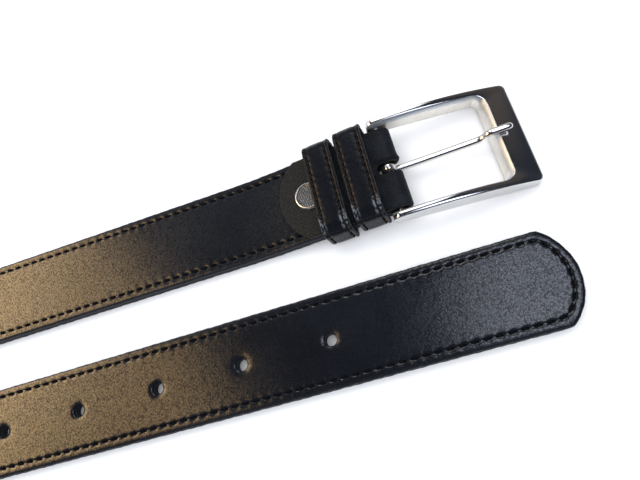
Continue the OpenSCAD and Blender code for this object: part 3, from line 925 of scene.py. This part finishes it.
def post_piece(name, material):
    """Rivet post with a rounded foot that shows under the chape."""
    skin = Skin()
    foot = [
        (0.0, 0.02), (FOOT_R - 1.2, 0.0), (FOOT_R - 0.35, 0.04), (FOOT_R - 0.08, 0.16), (FOOT_R, 0.34),
        (FOOT_R, FOOT_T), (POST_R, FOOT_T), (POST_R, TOP_H - UNDER_H + 0.2), (0.0, TOP_H - UNDER_H + 0.2),
    ]
    lathe(skin, foot, lambda x, y, h: on_raised_end(RIVET_L + x, y, UNDER_H + h), 48)
    return skin.build(name, [material])


# ---- buckle ----

ARM_END_R = (FRAME_BASE + FACE_NEAR) / 2
ARM_END_X = -0.9
ARM_END_Z = FACE_NEAR - ARM_END_R
CHORD = (FRAME_LEN - ARM_END_X, FACE_FAR - FACE_NEAR)
CHORD_LEN = math.hypot(*CHORD)
ARCH_R = CHORD_LEN ** 2 / (8 * FACE_ARCH) + FACE_ARCH / 2
ARCH_X = (FRAME_LEN + ARM_END_X) / 2 + (ARCH_R - FACE_ARCH) * CHORD[1] / CHORD_LEN
ARCH_Z = (FACE_FAR + FACE_NEAR) / 2 - (ARCH_R - FACE_ARCH) * CHORD[0] / CHORD_LEN


def on_frame(x, y, z):
    """A point given from the bar's axis, with the frame lying along +X."""
    return Vector((
        SHIFT_X + BAR_X + x * math.cos(FRAME_TILT) + z * math.sin(FRAME_TILT),
        LEG_GAP / 2 + y,
        BAR_Z - x * math.sin(FRAME_TILT) + z * math.cos(FRAME_TILT),
    ))


def face_z(x):
    """Height of the frame's arched face."""
    if x < ARM_END_X:
        return ARM_END_Z + math.sqrt(max(0.0, ARM_END_R ** 2 - (x - ARM_END_X) ** 2))
    return ARCH_Z + math.sqrt(ARCH_R ** 2 - (x - ARCH_X) ** 2)


def base_z(x):
    """Height of the frame's flat base, which rounds up at the arms' ends."""
    if x < ARM_END_X:
        return ARM_END_Z - math.sqrt(max(0.0, ARM_END_R ** 2 - (x - ARM_END_X) ** 2))
    return -FRAME_BASE


ARM_STATIONS = 40
CORNER_STATIONS = 14
END_STATIONS = 16


def u_track(end_x, half, corner):
    """Plan line along one arm, around a corner and across the end, mirrored: (x, y, outward x, outward y)."""
    straight_end = end_x - corner
    start_x = ARM_END_X - ARM_END_R
    points = []
    for i in range(ARM_STATIONS):
        t = i / ARM_STATIONS
        # the stations crowd together at the round end of the arm
        x = start_x + (straight_end - start_x) * (t ** 1.8 if t < 1 else 1)
        points.append((x, -half, 0.0, -1.0))
    for i in range(CORNER_STATIONS + 1):
        a = -math.pi / 2 + math.pi / 2 * i / CORNER_STATIONS
        c = math.cos(a)
        s = math.sin(a)
        points.append((end_x - corner + corner * c, -half + corner + corner * s, c, s))
    reach = half - corner
    for i in range(1, END_STATIONS // 2 + 1):
        points.append((end_x, -reach + reach * i / (END_STATIONS // 2), 1.0, 0.0))
    return points + [(x, -y, nx, -ny) for x, y, nx, ny in reversed(points[:-1])]


# Rows of the frame's section from the outer base over the face to the inner base. Each row has a plan line
# (0 outer, 1 inner), the distance in from that line on the arms near the bar, on the arms near the end and on
# the end bar, and the share of the height from the base with a drop from the face, in mm.
FRAME_ROWS = [
    (0, 0.40, 0.40, 0.40, 0.0, 0.0), (0, 0.08, 0.08, 0.08, 0.0, -0.12), (0, 0.0, 0.0, 0.0, 0.0, -0.45),
    (0, 0.0, 0.02, 0.04, 0.45, 0.0), (0, 0.02, 0.05, 0.08, 1.0, 0.75), (0, 0.06, 0.07, 0.11, 1.0, 0.42),
    (0, 0.16, 0.13, 0.18, 1.0, 0.19), (0, 0.30, 0.24, 0.30, 1.0, 0.07), (0, 0.50, 0.42, 0.48, 1.0, 0.015),
    (0, 0.70, 0.70, 0.80, 1.0, 0.0),
    (1, 1.55, 1.00, 0.95, 1.0, 0.0), (1, 1.30, 0.80, 0.70, 1.0, 0.05), (1, 1.02, 0.60, 0.45, 1.0, 0.20),
    (1, 0.78, 0.42, 0.15, 1.0, 0.50), (1, 0.56, 0.26, -0.15, 1.0, 0.95), (1, 0.36, 0.12, -0.55, 1.0, 1.55),
    (1, 0.12, 0.0, -1.40, 0.0, -1.2), (1, 0.05, -0.05, -1.75, 0.0, -0.4), (1, 0.2, 0.15, -1.60, 0.0, -0.08),
    (1, 0.5, 0.5, -1.2, 0.0, 0.0),
]
RIM_ROW = 11                                   # from this row on, the section rounds over the window's rim
WALL_ROW = 15                                  # and from this one it is the window's wall
INNER_X = 36.2


def frame_piece(name, materials):
    outer = u_track(FRAME_LEN, FRAME_W / 2, 2.0)
    inner = u_track(INNER_X, WINDOW_W / 2, 3.5)
    count = len(outer)
    rows = []
    for line, near, far_inset, end_inset, share, drop in FRAME_ROWS:
        row = []
        for i in range(count):
            x, y, nx, ny = (outer, inner)[line][i]
            along = ease((x + 2) / (INNER_X - 6))
            arm = lerp(near, far_inset, along)
            inset = lerp(arm, end_inset, abs(nx) ** 1.5)
            # on the outer line an inset goes in, on the inner line it goes away from the window
            sign = -1 if line == 0 else 1
            px = x + sign * nx * inset
            py = y + sign * ny * inset
            top = face_z(px)
            low = base_z(px)
            room = (top - low) / (FACE_NEAR + FRAME_BASE)
            z = lerp(low, top, share) - drop * min(1.0, room)
            row.append(on_frame(px, py, z))
        rows.append(row)
    skin = Skin()
    columns = [list(column) for column in zip(*rows)]
    uvs = []
    for i in range(count):
        uvs.append([(i * 1.3, j * 0.5) for j in range(len(FRAME_ROWS) + 1)])
    skin.grid(columns, uvs, [(j >= RIM_ROW) + (j >= WALL_ROW) for j in range(len(FRAME_ROWS))])
    return skin.build(name, materials, sharp=60)


# Along the prong: distance from the bar, height of the middle, half width and half height.
PRONG_STATIONS = [
    (0.9, -1.40, 1.05, 0.80), (2.4, -1.30, 1.10, 0.95), (4.0, -1.14, 1.14, 1.00), (7.0, -0.82, 1.15, 1.00),
    (11.0, -0.36, 1.15, 0.98), (16.0, 0.27, 1.15, 0.97), (21.0, 0.92, 1.15, 0.97), (26.0, 1.58, 1.15, 0.96),
    (29.5, 2.05, 1.15, 0.95), (30.4, 2.30, 1.12, 0.92), (31.0, 2.75, 1.00, 0.86), (31.5, 3.35, 0.86, 0.78),
    (32.0, 3.90, 0.92, 0.84), (32.5, 4.32, 1.08, 0.98), (33.0, 4.58, 1.12, 1.02), (33.4, 4.72, 1.04, 0.95),
    (33.8, 4.76, 1.12, 1.04), (34.4, 4.82, 1.18, 1.10), (36.2, 5.06, 1.20, 1.10), (38.2, 5.34, 1.20, 1.10),
    (39.4, 5.51, 1.18, 1.09), (40.1, 5.60, 1.08, 0.99), (40.5, 5.64, 0.88, 0.80), (40.8, 5.67, 0.52, 0.48),
    (40.9, 5.68, 0.20, 0.18),
]


def prong_piece(name, material):
    skin = Skin()
    sides = 20
    rows = []
    uvs = []
    for n, (x, z, half_w, half_h) in enumerate(PRONG_STATIONS):
        row = []
        for k in range(sides):
            a = 2 * math.pi * k / sides
            c = math.cos(a)
            s = math.sin(a)
            # a rounded square rather than an ellipse
            y = half_w * math.copysign(abs(c) ** 0.85, c)
            h = half_h * math.copysign(abs(s) ** 0.85, s)
            lean = x * math.tan(PRONG_LEAN)
            row.append(on_frame(x, y + lean, z + h))
        rows.append(row)
        uvs.append([(x, k * 0.3) for k in range(sides + 1)])
    skin.grid(rows, uvs)

    # the eye around the bar
    eye_in = BAR_R + 0.08
    eye_out = eye_in + 1.0
    half = 1.25
    section = [
        (eye_in, -half + 0.2), (eye_in + 0.2, -half), (eye_out - 0.45, -half), (eye_out - 0.12, -half + 0.2),
        (eye_out, -half + 0.6), (eye_out, half - 0.6), (eye_out - 0.12, half - 0.2), (eye_out - 0.45, half),
        (eye_in + 0.2, half), (eye_in, half - 0.2),
    ]
    turns = 48
    rows = []
    uvs = []
    for i in range(turns + 1):
        a = 2 * math.pi * (i % turns) / turns
        rows.append([on_frame(r * math.cos(a), y, r * math.sin(a)) for r, y in section])
        uvs.append([(i * 0.3, j * 0.3) for j in range(len(section) + 1)])
    skin.grid(rows, uvs)
    return skin.build(name, [material], sharp=70)


# ---- materials ----

class Shader:
    """Builds a node material around a Principled shader."""

    def __init__(self, name, colour, roughness, metallic=0.0, specular=0.5):
        self.material = bpy.data.materials.new(name)
        self.material.use_nodes = True
        self.nodes = self.material.node_tree.nodes
        self.links = self.material.node_tree.links
        self.shader = self.nodes["Principled BSDF"]
        self.shader.inputs["Base Color"].default_value = (*colour, 1)
        self.shader.inputs["Roughness"].default_value = roughness
        self.shader.inputs["Metallic"].default_value = metallic
        self.shader.inputs["Specular IOR Level"].default_value = specular
        self.uv = self.nodes.new("ShaderNodeUVMap")
        self.uv.uv_map = "UVMap"

    def scaled(self, u=1.0, v=1.0):
        """UV coordinates stretched by u along and v across."""
        node = self.nodes.new("ShaderNodeMapping")
        node.inputs["Scale"].default_value = (u, v, 1)
        self.links.new(self.uv.outputs["UV"], node.inputs["Vector"])
        return node.outputs["Vector"]

    def noise(self, size, detail=2.0, rough=0.5, vector=None, seed=0.0):
        """Noise whose features are about size mm across."""
        node = self.nodes.new("ShaderNodeTexNoise")
        node.noise_dimensions = "4D"
        node.inputs["W"].default_value = seed
        node.inputs["Scale"].default_value = 1 / (size * MM)
        node.inputs["Detail"].default_value = detail
        node.inputs["Roughness"].default_value = rough
        self.links.new(vector or self.uv.outputs["UV"], node.inputs["Vector"])
        return node.outputs["Fac"]

    def cells(self, size):
        """Cell pattern of about size mm."""
        node = self.nodes.new("ShaderNodeTexVoronoi")
        node.inputs["Scale"].default_value = 1 / (size * MM)
        self.links.new(self.uv.outputs["UV"], node.inputs["Vector"])
        return node.outputs["Distance"]

    def ridges(self, pitch, angle):
        """Parallel ridges, pitch mm apart."""
        turned = self.nodes.new("ShaderNodeMapping")
        turned.inputs["Rotation"].default_value = (0, 0, math.radians(angle))
        self.links.new(self.uv.outputs["UV"], turned.inputs["Vector"])
        node = self.nodes.new("ShaderNodeTexWave")
        node.wave_type = "BANDS"
        node.bands_direction = "X"
        node.inputs["Scale"].default_value = 2 * math.pi / 20 / (pitch * MM)
        self.links.new(turned.outputs["Vector"], node.inputs["Vector"])
        return node.outputs["Fac"]

    def math(self, operation, a, b):
        node = self.nodes.new("ShaderNodeMath")
        node.operation = operation
        for socket, value in zip(node.inputs, (a, b)):
            if isinstance(value, (int, float)):
                socket.default_value = value
            else:
                self.links.new(value, socket)
        return node.outputs[0]

    def spread(self, value, low, high, to_low=0.0, to_high=1.0):
        """Maps the range low..high to to_low..to_high, clamped."""
        node = self.nodes.new("ShaderNodeMapRange")
        node.inputs["From Min"].default_value = low
        node.inputs["From Max"].default_value = high
        node.inputs["To Min"].default_value = to_low
        node.inputs["To Max"].default_value = to_high
        self.links.new(value, node.inputs["Value"])
        return node.outputs["Result"]

    def mix(self, factor, colour_a, colour_b):
        node = self.nodes.new("ShaderNodeMix")
        node.data_type = "RGBA"
        self.links.new(factor, node.inputs["Factor"])
        for socket, colour in ((node.inputs[6], colour_a), (node.inputs[7], colour_b)):
            if isinstance(colour, tuple):
                socket.default_value = (*colour, 1)
            else:
                self.links.new(colour, socket)
        return node.outputs[2]

    def colour(self, output):
        self.links.new(output, self.shader.inputs["Base Color"])

    def lay_over(self, factor, colour):
        """Mixes another colour over the one that was linked before."""
        base = self.shader.inputs["Base Color"].links[0].from_socket
        self.colour(self.mix(factor, base, colour))

    def roughness(self, output):
        self.links.new(output, self.shader.inputs["Roughness"])

    def sheen(self, share):
        """Scales the specular level that was set before. The export drops this link."""
        socket = self.shader.inputs["Specular IOR Level"]
        self.links.new(self.math("MULTIPLY", share, socket.default_value), socket)

    def bump(self, *layers):
        """Adds bumps given as (height output, depth in mm), from the coarsest to the finest."""
        last = None
        for output, depth in layers:
            node = self.nodes.new("ShaderNodeBump")
            node.inputs["Strength"].default_value = 1.0
            node.inputs["Distance"].default_value = depth * MM
            self.links.new(output, node.inputs["Height"])
            if last:
                self.links.new(last, node.inputs["Normal"])
            last = node.outputs["Normal"]
        self.links.new(last, self.shader.inputs["Normal"])

    def uv_value(self, axis):
        node = self.nodes.new("ShaderNodeSeparateXYZ")
        self.links.new(self.uv.outputs["UV"], node.inputs["Vector"])
        return node.outputs[axis]

    def across(self):
        """The UV's second value without its sign: on the strap, the distance from its centre line."""
        return self.math("ABSOLUTE", self.uv_value("Y"), 0.0)

    def distance_from(self, value, place):
        """How far a value lies from a place given in mm."""
        return self.math("ABSOLUTE", self.math("SUBTRACT", value, place * MM), 0.0)


def leather_face(name, dark, light, rough, depth, grain=0.62, specular=0.5):
    """Smooth finished leather with a fine pebbled grain. rough is the range of its roughness."""
    s = Shader(name, dark, 0.4, specular=specular)
    cloud = s.noise(26, 3.0)
    fine = s.noise(0.9, 3.0, seed=2.0)
    tone = s.math("ADD", s.spread(cloud, 0.35, 0.65, 0.0, 0.6), s.spread(fine, 0.35, 0.7, 0.0, 0.4))
    s.colour(s.mix(tone, dark, light))
    s.roughness(s.spread(s.noise(7, 3.0, seed=5.0), 0.3, 0.7, *rough))
    pebble = s.cells(grain)
    speckle = s.math("ADD", s.noise(0.33, 2.0, 0.6, seed=14.0), s.math("MULTIPLY", pebble, 0.35))
    s.sheen(s.spread(speckle, 0.42, 0.82, 1.75, 0.35))
    pores = s.noise(0.28, 2.0, seed=8.0)
    creases = s.noise(2.6, 4.0, 0.6, s.scaled(1.0, 0.55), 11.0)
    s.bump((creases, depth * 1.6), (pebble, depth), (pores, depth * 0.7))
    return s


def strap_leather():
    """Finished leather, a little worn at its very edge."""
    s = leather_face(
        "strap_leather_black", (0.0033, 0.0040, 0.0058), (0.0070, 0.0082, 0.0112), (0.14, 0.18),
        depth=0.013, specular=0.53,
    )
    worn = s.spread(s.across(), 13.8 * MM, 15.0 * MM)
    s.lay_over(s.math("MULTIPLY", worn, s.noise(1.6, 3.0, seed=4.0)), (0.020, 0.021, 0.025))
    return s.material


def cut_edge(name, dark, light):
    """Dyed cut edge of leather, with fibres that run along the layers."""
    s = Shader(name, dark, 0.7, specular=0.25)
    fibres = s.noise(0.5, 4.0, 0.65, s.scaled(0.35, 2.2), 3.0)
    specks = s.noise(0.3, 2.0, 0.6, seed=9.0)
    tone = s.spread(s.math("ADD", fibres, s.math("MULTIPLY", specks, 0.4)), 0.55, 0.95)
    s.colour(s.mix(tone, dark, light))
    s.roughness(s.spread(fibres, 0.3, 0.7, 0.55, 0.8))
    s.bump((fibres, 0.12), (specks, 0.05))
    return s.material


def backing_leather():
    s = leather_face(
        "backing_leather_black", (0.007, 0.007, 0.008), (0.015, 0.015, 0.017), (0.52, 0.66),
        depth=0.05, grain=0.9,
    )
    return s.material


def chape_leather():
    """Matt at the tab and smoother over the bar. The tab's lighter, browner colour against the darker bar is
    painted sheen.
    """
    s = Shader("chape_leather_black", (0.03, 0.03, 0.03), 0.6, specular=0.18)
    nap = s.noise(0.55, 4.0, 0.65)
    cloud = s.noise(6, 3.0, seed=3.0)
    matt = s.mix(s.spread(nap, 0.40, 0.62), (0.0060, 0.0057, 0.0050), (0.0260, 0.0244, 0.0220))
    pebbled = s.math("ADD", s.math("MULTIPLY", cloud, 0.5), s.noise(0.4, 3.0, 0.6, seed=12.0))
    smooth = s.mix(s.spread(pebbled, 0.68, 0.90), (0.0018, 0.0028, 0.0052), (0.0085, 0.0115, 0.0170))
    # painted sheen with a real change of finish: colour goes from the lighter matt tab to the darker bar,
    # roughness from matt to smooth
    finish_and_sheen = s.spread(s.uv_value("X"), 16 * MM, 24 * MM)
    s.colour(s.mix(finish_and_sheen, matt, smooth))
    s.roughness(s.spread(finish_and_sheen, 0.0, 1.0, 0.82, 0.50))
    grain = s.cells(0.75)
    s.bump((s.noise(3.0, 3.0, seed=6.0), 0.09), (grain, 0.10), (nap, 0.07))
    return s.material


def keeper_leather():
    """Finished leather with painted highlights: pale spots beside its seams, where the band turns down at its
    near side, stand in for glints.
    """
    s = leather_face(
        "keeper_leather_black", (0.0034, 0.0040, 0.0060), (0.0072, 0.0084, 0.0116), (0.20, 0.28),
        depth=0.018, grain=0.8, specular=0.16,
    )
    at_turn = s.spread(s.distance_from(s.uv_value("X"), NEAR_TURN), 0.8 * MM, 3.0 * MM, 1.0, 0.0)
    at_seams = s.spread(s.distance_from(s.across(), KEEPER_W / 2), 2.2 * MM, 3.0 * MM)
    glint_patches = s.spread(s.noise(1.0, 2.0, 0.5, seed=21.0), 0.46, 0.64)
    # painted highlight: pale bluish colour where the near corner would catch glints
    s.lay_over(s.math("MULTIPLY", s.math("MULTIPLY", at_turn, at_seams), glint_patches), (0.150, 0.165, 0.190))
    return s.material


def thread_material(name, dark, light, roughness):
    """Twisted thread: slanted plies, a little fuzz."""
    s = Shader(name, dark, roughness, specular=0.02)
    node = s.nodes.new("ShaderNodeTexWave")
    node.wave_type = "BANDS"
    node.bands_direction = "DIAGONAL"
    node.inputs["Scale"].default_value = 420
    node.inputs["Distortion"].default_value = 0.6
    s.links.new(s.uv.outputs["UV"], node.inputs["Vector"])
    plies = node.outputs["Fac"]
    fuzz = s.noise(0.2, 2.0)
    s.colour(s.mix(s.spread(s.math("ADD", plies, fuzz), 0.4, 1.4), dark, light))
    s.bump((plies, 0.05), (fuzz, 0.03))
    return s.material


def metal(name, colour, rough_low, rough_high, marks=0.006):
    """Plated metal with faint polishing marks and smudges."""
    s = Shader(name, colour, rough_low, 1.0)
    smudge = s.noise(9, 3.0)
    s.roughness(s.spread(smudge, 0.35, 0.7, rough_low, rough_high))
    lines = s.noise(0.5, 3.0, 0.6, s.scaled(0.15, 1.6), 4.0)
    dark = tuple(c * 0.93 for c in colour)
    s.colour(s.mix(s.spread(s.noise(3.0, 2.0, seed=7.0), 0.3, 0.7), dark, colour))
    s.bump((lines, marks), (s.noise(0.25, 2.0, seed=9.0), marks * 0.5))
    return s.material


def knurled_metal(name, dark, light):
    """Metal pressed with a generic cross-hatch, with painted shade darkening its valleys."""
    s = Shader(name, light, 0.3, 1.0)
    hatch = s.math("MULTIPLY", s.ridges(0.62, 34), s.math("ADD", 0.35, s.ridges(0.9, -52)))
    # painted shade: the hatch's valleys are coloured nearly black
    s.colour(s.mix(s.spread(hatch, 0.1, 0.8), dark, light))
    s.bump((hatch, 0.22), (s.noise(0.3, 2.0), 0.02))
    return s.material


STRAP_FACE = strap_leather()
STRAP_EDGE = cut_edge("strap_edge_dyed", (0.006, 0.007, 0.010), (0.026, 0.030, 0.039))
BACKING = backing_leather()
CHAPE = chape_leather()
CHAPE_EDGE = cut_edge("chape_edge_dyed", (0.011, 0.010, 0.009), (0.045, 0.043, 0.040))
KEEPER = keeper_leather()
KEEPER_EDGE = cut_edge("keeper_edge_dyed", (0.008, 0.008, 0.009), (0.050, 0.050, 0.052))
THREAD = thread_material("strap_thread_black", (0.0014, 0.0016, 0.0023), (0.0045, 0.0048, 0.0064), 0.75)
KEEPER_THREAD = thread_material("keeper_thread_dark", (0.003, 0.0028, 0.0027), (0.016, 0.0128, 0.0096), 0.85)
CHROME = metal("buckle_chrome_polished", (0.83, 0.83, 0.84), 0.07, 0.14)
CHROME_RIM = metal("buckle_chrome_rim", (0.72, 0.77, 0.85), 0.46, 0.58, 0.03)
CHROME_WALL = metal("buckle_chrome_satin", (0.96, 0.93, 0.87), 0.24, 0.40, 0.07)
PRONG_CHROME = metal("prong_chrome_polished", (0.88, 0.87, 0.85), 0.13, 0.20)
RIVET = metal("rivet_nickel_bright", (0.70, 0.71, 0.73), 0.22, 0.32, 0.01)
RIVET_KNURL = knurled_metal("rivet_nickel_knurled", (0.09, 0.10, 0.11), (0.62, 0.64, 0.68))
WIRE = metal("staple_wire_zinc", (0.60, 0.61, 0.63), 0.28, 0.40, 0.01)


# ---- pieces ----

U_TIP = -FLAT_LEN                              # the UV's first value at the tip's flexing line
U_BUCKLE = U_TIP - PATH_LEN


def flex_blend(piece):
    """Bakes the transform of a piece of the strap into its mesh."""
    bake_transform(piece)


# Each layer of the strap: name, rows, face and join heights, seed of its uneven edge, materials and slot.
LAYERS = [
    ("leather", EDGE_ROWS, TOP_V, JOIN_V, 1.0, [STRAP_FACE, STRAP_EDGE], "strap_leather"),
    ("backing", BACK_ROWS, -TOP_V, JOIN_V, 2.0, [BACKING, STRAP_EDGE], "backing_leather"),
]
LOOP_STITCHES = round(PATH_LEN / STITCH)
BUCKLE_STITCHES = round(BUCKLE_LEG / STITCH)


def place_sections(kind, slot, tip, loop, buckle_leg):
    """Hides the CAD parts of the three sections of a layer of the strap, or of its thread, puts the loop on
    its body and bakes the transforms of the other two.
    """
    for piece, section in ((tip, "tip"), (loop, "loop"), (buckle_leg, "buckle")):
        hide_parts(f"strap_{kind}_{section}")
    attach(loop, "strap_loop")
    flex_blend(tip)
    flex_blend(buckle_leg)


for kind, rows, face_v, join_v, seed, materials, slot in LAYERS:
    section_args = (rows, face_v, join_v, seed, materials)
    place_sections(
        kind,
        slot,
        tip_layer(f"tip_{kind}", *section_args),
        swept_layer(
            f"loop_{kind}", LOOP_STITCHES * STITCH_STEPS, loop_frame, PATH_LEN, U_TIP, *section_args,
        ),
        swept_layer(
            f"buckle_leg_{kind}", BUCKLE_STITCHES * STITCH_STEPS, buckle_frame_at, BUCKLE_LEG, U_BUCKLE,
            *section_args,
        ),
    )
place_sections(
    "stitching",
    "thread",
    tip_thread("tip_thread", THREAD),
    swept_thread("loop_thread", LOOP_STITCHES, loop_frame, PATH_LEN, THREAD),
    swept_thread("buckle_leg_thread", BUCKLE_STITCHES, buckle_frame_at, BUCKLE_LEG, THREAD),
)

PIECES = [
    (chape_piece("chape_skin", [CHAPE, CHAPE_EDGE]), "chape", "buckle_end", "chape_leather"),
    (rivet_piece("rivet_cap_knurled", [RIVET, RIVET_KNURL]), "rivet_cap", "buckle_end", "rivet_metal"),
    (post_piece("rivet_post_foot", RIVET), "rivet_post", "buckle_end", "rivet_metal"),
    (frame_piece("buckle_frame_cast", [CHROME, CHROME_RIM, CHROME_WALL]), "buckle_frame", "buckle",
     "buckle_chrome"),
    (prong_piece("prong_cast", PRONG_CHROME), "prong", "prong", "buckle_chrome"),
]
KEEPERS = [("rear", REAR_L, -KEEPER_SHIFT, 1.0), ("front", FRONT_L, KEEPER_SHIFT, 2.0)]
for which, start_l, shift, seed in KEEPERS:
    body = f"{which}_keeper"
    node = f"keeper_{which}"
    band = keeper_piece(f"{node}_band", start_l, shift, seed, [KEEPER, KEEPER_EDGE])
    thread = keeper_thread(f"{node}_thread", start_l, shift, KEEPER_THREAD)
    staple = keeper_staple(f"{node}_wire", start_l, shift, WIRE)
    PIECES += [
        (band, node, body, "keeper_leather"),
        (thread, f"{node}_stitching", body, "thread"),
        (staple, f"{node}_staple", body, "staple_wire"),
    ]
for piece, node, body, slot in PIECES:
    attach(piece, body)
    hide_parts(node)

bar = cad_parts["buckle_bar"]
bar.data.materials.clear()
bar.data.materials.append(CHROME)


# ---- floor, light and camera ----

FLOOR = (0.86, 0.86, 0.87)
FLOOR_IN_GLOSS = (0.68, 0.68, 0.68)


def floor_piece():
    """A pale floor, which gloss sees darker than the camera does."""
    s = Shader("floor_paper", FLOOR, 0.9, specular=0.1)
    rays = s.nodes.new("ShaderNodeLightPath")
    s.colour(s.mix(rays.outputs["Is Glossy Ray"], FLOOR, FLOOR_IN_GLOSS))
    mesh = bpy.data.meshes.new("floor")
    size = 6.0
    corners = [(-size, -size, 0), (size, -size, 0), (size, size, 0), (-size, size, 0)]
    mesh.from_pydata(corners, [], [(0, 1, 2, 3)])
    mesh.materials.append(s.material)
    floor = bpy.data.objects.new("floor", mesh)
    bpy.context.scene.collection.objects.link(floor)


# The world tests for gloss rays. Gloss sees a dark room with a bright horizon on the far side, a low band and
# the regions below. Each is a colour times its brightness, and comes in between two heights or two sides.
ROOM = (0.019, 0.023, 0.032)
HORIZON = (0.55, 0.56, 0.58)
HORIZON_Z = (0.30, 0.12)
HORIZON_Y = (-0.4, 0.1)
LOW_BAND = (0.20, 0.20, 0.215)
LOW_BAND_Z = ((0.20, 0.30), (0.54, 0.40))
# The side window limits the regions that are marked True.
WINDOW_Z = (0.44, 0.58)
WINDOW_Y = ((-0.14, 0.08), (0.74, 0.52))
# Colour and strength of the light on matt surfaces.
PLAIN = (0.96, 0.985, 1.03, 1)
PLAIN_STRENGTH = 1.5

# Soft regions: a vector, the two values of its dot product with the direction between which the region comes
# in, its colour times brightness, and whether it stays inside the side window.
REGIONS = [
    ((-1.0, -0.31, 0.0), 0.35, 0.42, (3.8, 2.52, 1.15), True),
    ((-1.0, 0.25, 0.0), 0.62, 0.80, (4.4, 3.0, 1.5), True),
    ((0.24, 0.12, 0.963), 0.966, 0.994, (3.1, 3.3, 3.9), False),
    ((0.06, 0.64, 0.77), 0.968, 0.986, (2.6, 2.55, 2.5), False),
    ((-0.60, 0.55, 0.58), 0.86, 0.99, (0.44, 0.42, 0.42), False),
    ((0.50, 0.63, 0.60), 0.950, 0.995, (0.054, 0.038, 0.021), False),
]


def studio_world():
    """Plain white for matt surfaces, and other surroundings for gloss."""
    world = bpy.data.worlds.new("studio")
    bpy.context.scene.world = world
    world.use_nodes = True
    nodes = world.node_tree.nodes
    links = world.node_tree.links
    nodes.clear()
    direction = nodes.new("ShaderNodeTexCoord").outputs["Generated"]

    def scaled(colour, factor):
        node = nodes.new("ShaderNodeVectorMath")
        node.operation = "SCALE"
        node.inputs[0].default_value = colour
        links.new(factor, node.inputs["Scale"])
        return node.outputs["Vector"]

    def added(a, b):
        node = nodes.new("ShaderNodeVectorMath")
        node.operation = "ADD"
        links.new(a, node.inputs[0])
        if isinstance(b, tuple):
            node.inputs[1].default_value = b
        else:
            links.new(b, node.inputs[1])
        return node.outputs["Vector"]

    def stepped(value, low, high):
        node = nodes.new("ShaderNodeMapRange")
        node.interpolation_type = "SMOOTHSTEP"
        node.inputs["From Min"].default_value = low
        node.inputs["From Max"].default_value = high
        links.new(value, node.inputs["Value"])
        return node.outputs["Result"]

    def both(a, b):
        node = nodes.new("ShaderNodeMath")
        node.operation = "MULTIPLY"
        links.new(a, node.inputs[0])
        links.new(b, node.inputs[1])
        return node.outputs[0]

    split = nodes.new("ShaderNodeSeparateXYZ")
    links.new(direction, split.inputs["Vector"])
    side = split.outputs["Y"]
    height = split.outputs["Z"]
    window = stepped(height, *WINDOW_Z)
    for low, high in WINDOW_Y:
        window = both(window, stepped(side, low, high))
    horizon = both(stepped(height, *HORIZON_Z), stepped(side, *HORIZON_Y))
    low_band = both(*[stepped(height, low, high) for low, high in LOW_BAND_Z])
    total = added(scaled(HORIZON, horizon), scaled(LOW_BAND, low_band))
    total = added(total, ROOM)
    for towards, start, full, colour, limited in REGIONS:
        dot = nodes.new("ShaderNodeVectorMath")
        dot.operation = "DOT_PRODUCT"
        links.new(direction, dot.inputs[0])
        dot.inputs[1].default_value = towards
        inside = stepped(dot.outputs["Value"], start, full)
        if limited:
            inside = both(inside, window)
        total = added(total, scaled(colour, inside))

    gloss = nodes.new("ShaderNodeBackground")
    links.new(total, gloss.inputs["Color"])
    plain = nodes.new("ShaderNodeBackground")
    plain.inputs["Color"].default_value = PLAIN
    plain.inputs["Strength"].default_value = PLAIN_STRENGTH
    rays = nodes.new("ShaderNodeLightPath")
    mix = nodes.new("ShaderNodeMixShader")
    links.new(rays.outputs["Is Glossy Ray"], mix.inputs["Fac"])
    links.new(plain.outputs["Background"], mix.inputs[1])
    links.new(gloss.outputs["Background"], mix.inputs[2])
    output = nodes.new("ShaderNodeOutputWorld")
    links.new(mix.outputs["Shader"], output.inputs["Surface"])


def soft_light(name, place, target, size, power, colour):
    """A round soft light that shows neither to the camera nor in gloss."""
    light = bpy.data.lights.new(name, "AREA")
    light.shape = "DISK"
    light.size = size
    light.energy = power
    light.color = colour
    lamp = bpy.data.objects.new(name, light)
    lamp.location = place
    lamp.rotation_euler = (Vector(target) - Vector(place)).to_track_quat("-Z", "Y").to_euler()
    lamp.visible_camera = False
    lamp.visible_glossy = False
    bpy.context.scene.collection.objects.link(lamp)


CAMERA_PLACE = (0.209753, -0.050564, 0.159287)
CAMERA_TURN = (17.8057, 14.5501, -13.5934)     # degrees about X, Y and Z
CAMERA_LENS = 28.176


def studio_camera():
    data = bpy.data.cameras.new("camera")
    data.sensor_width = 36
    data.lens = CAMERA_LENS
    data.clip_start = 0.01
    camera = bpy.data.objects.new("camera", data)
    camera.location = CAMERA_PLACE
    camera.rotation_euler = Euler([math.radians(a) for a in CAMERA_TURN])
    bpy.context.scene.collection.objects.link(camera)
    bpy.context.scene.camera = camera


floor_piece()
studio_world()
soft_light("key", place=(-0.15, 0.62, 1.15), target=(0.1, 0, 0), size=0.9, power=5, colour=(1.0, 0.97, 0.92))
studio_camera()
bpy.context.scene.view_settings.view_transform = "Standard"
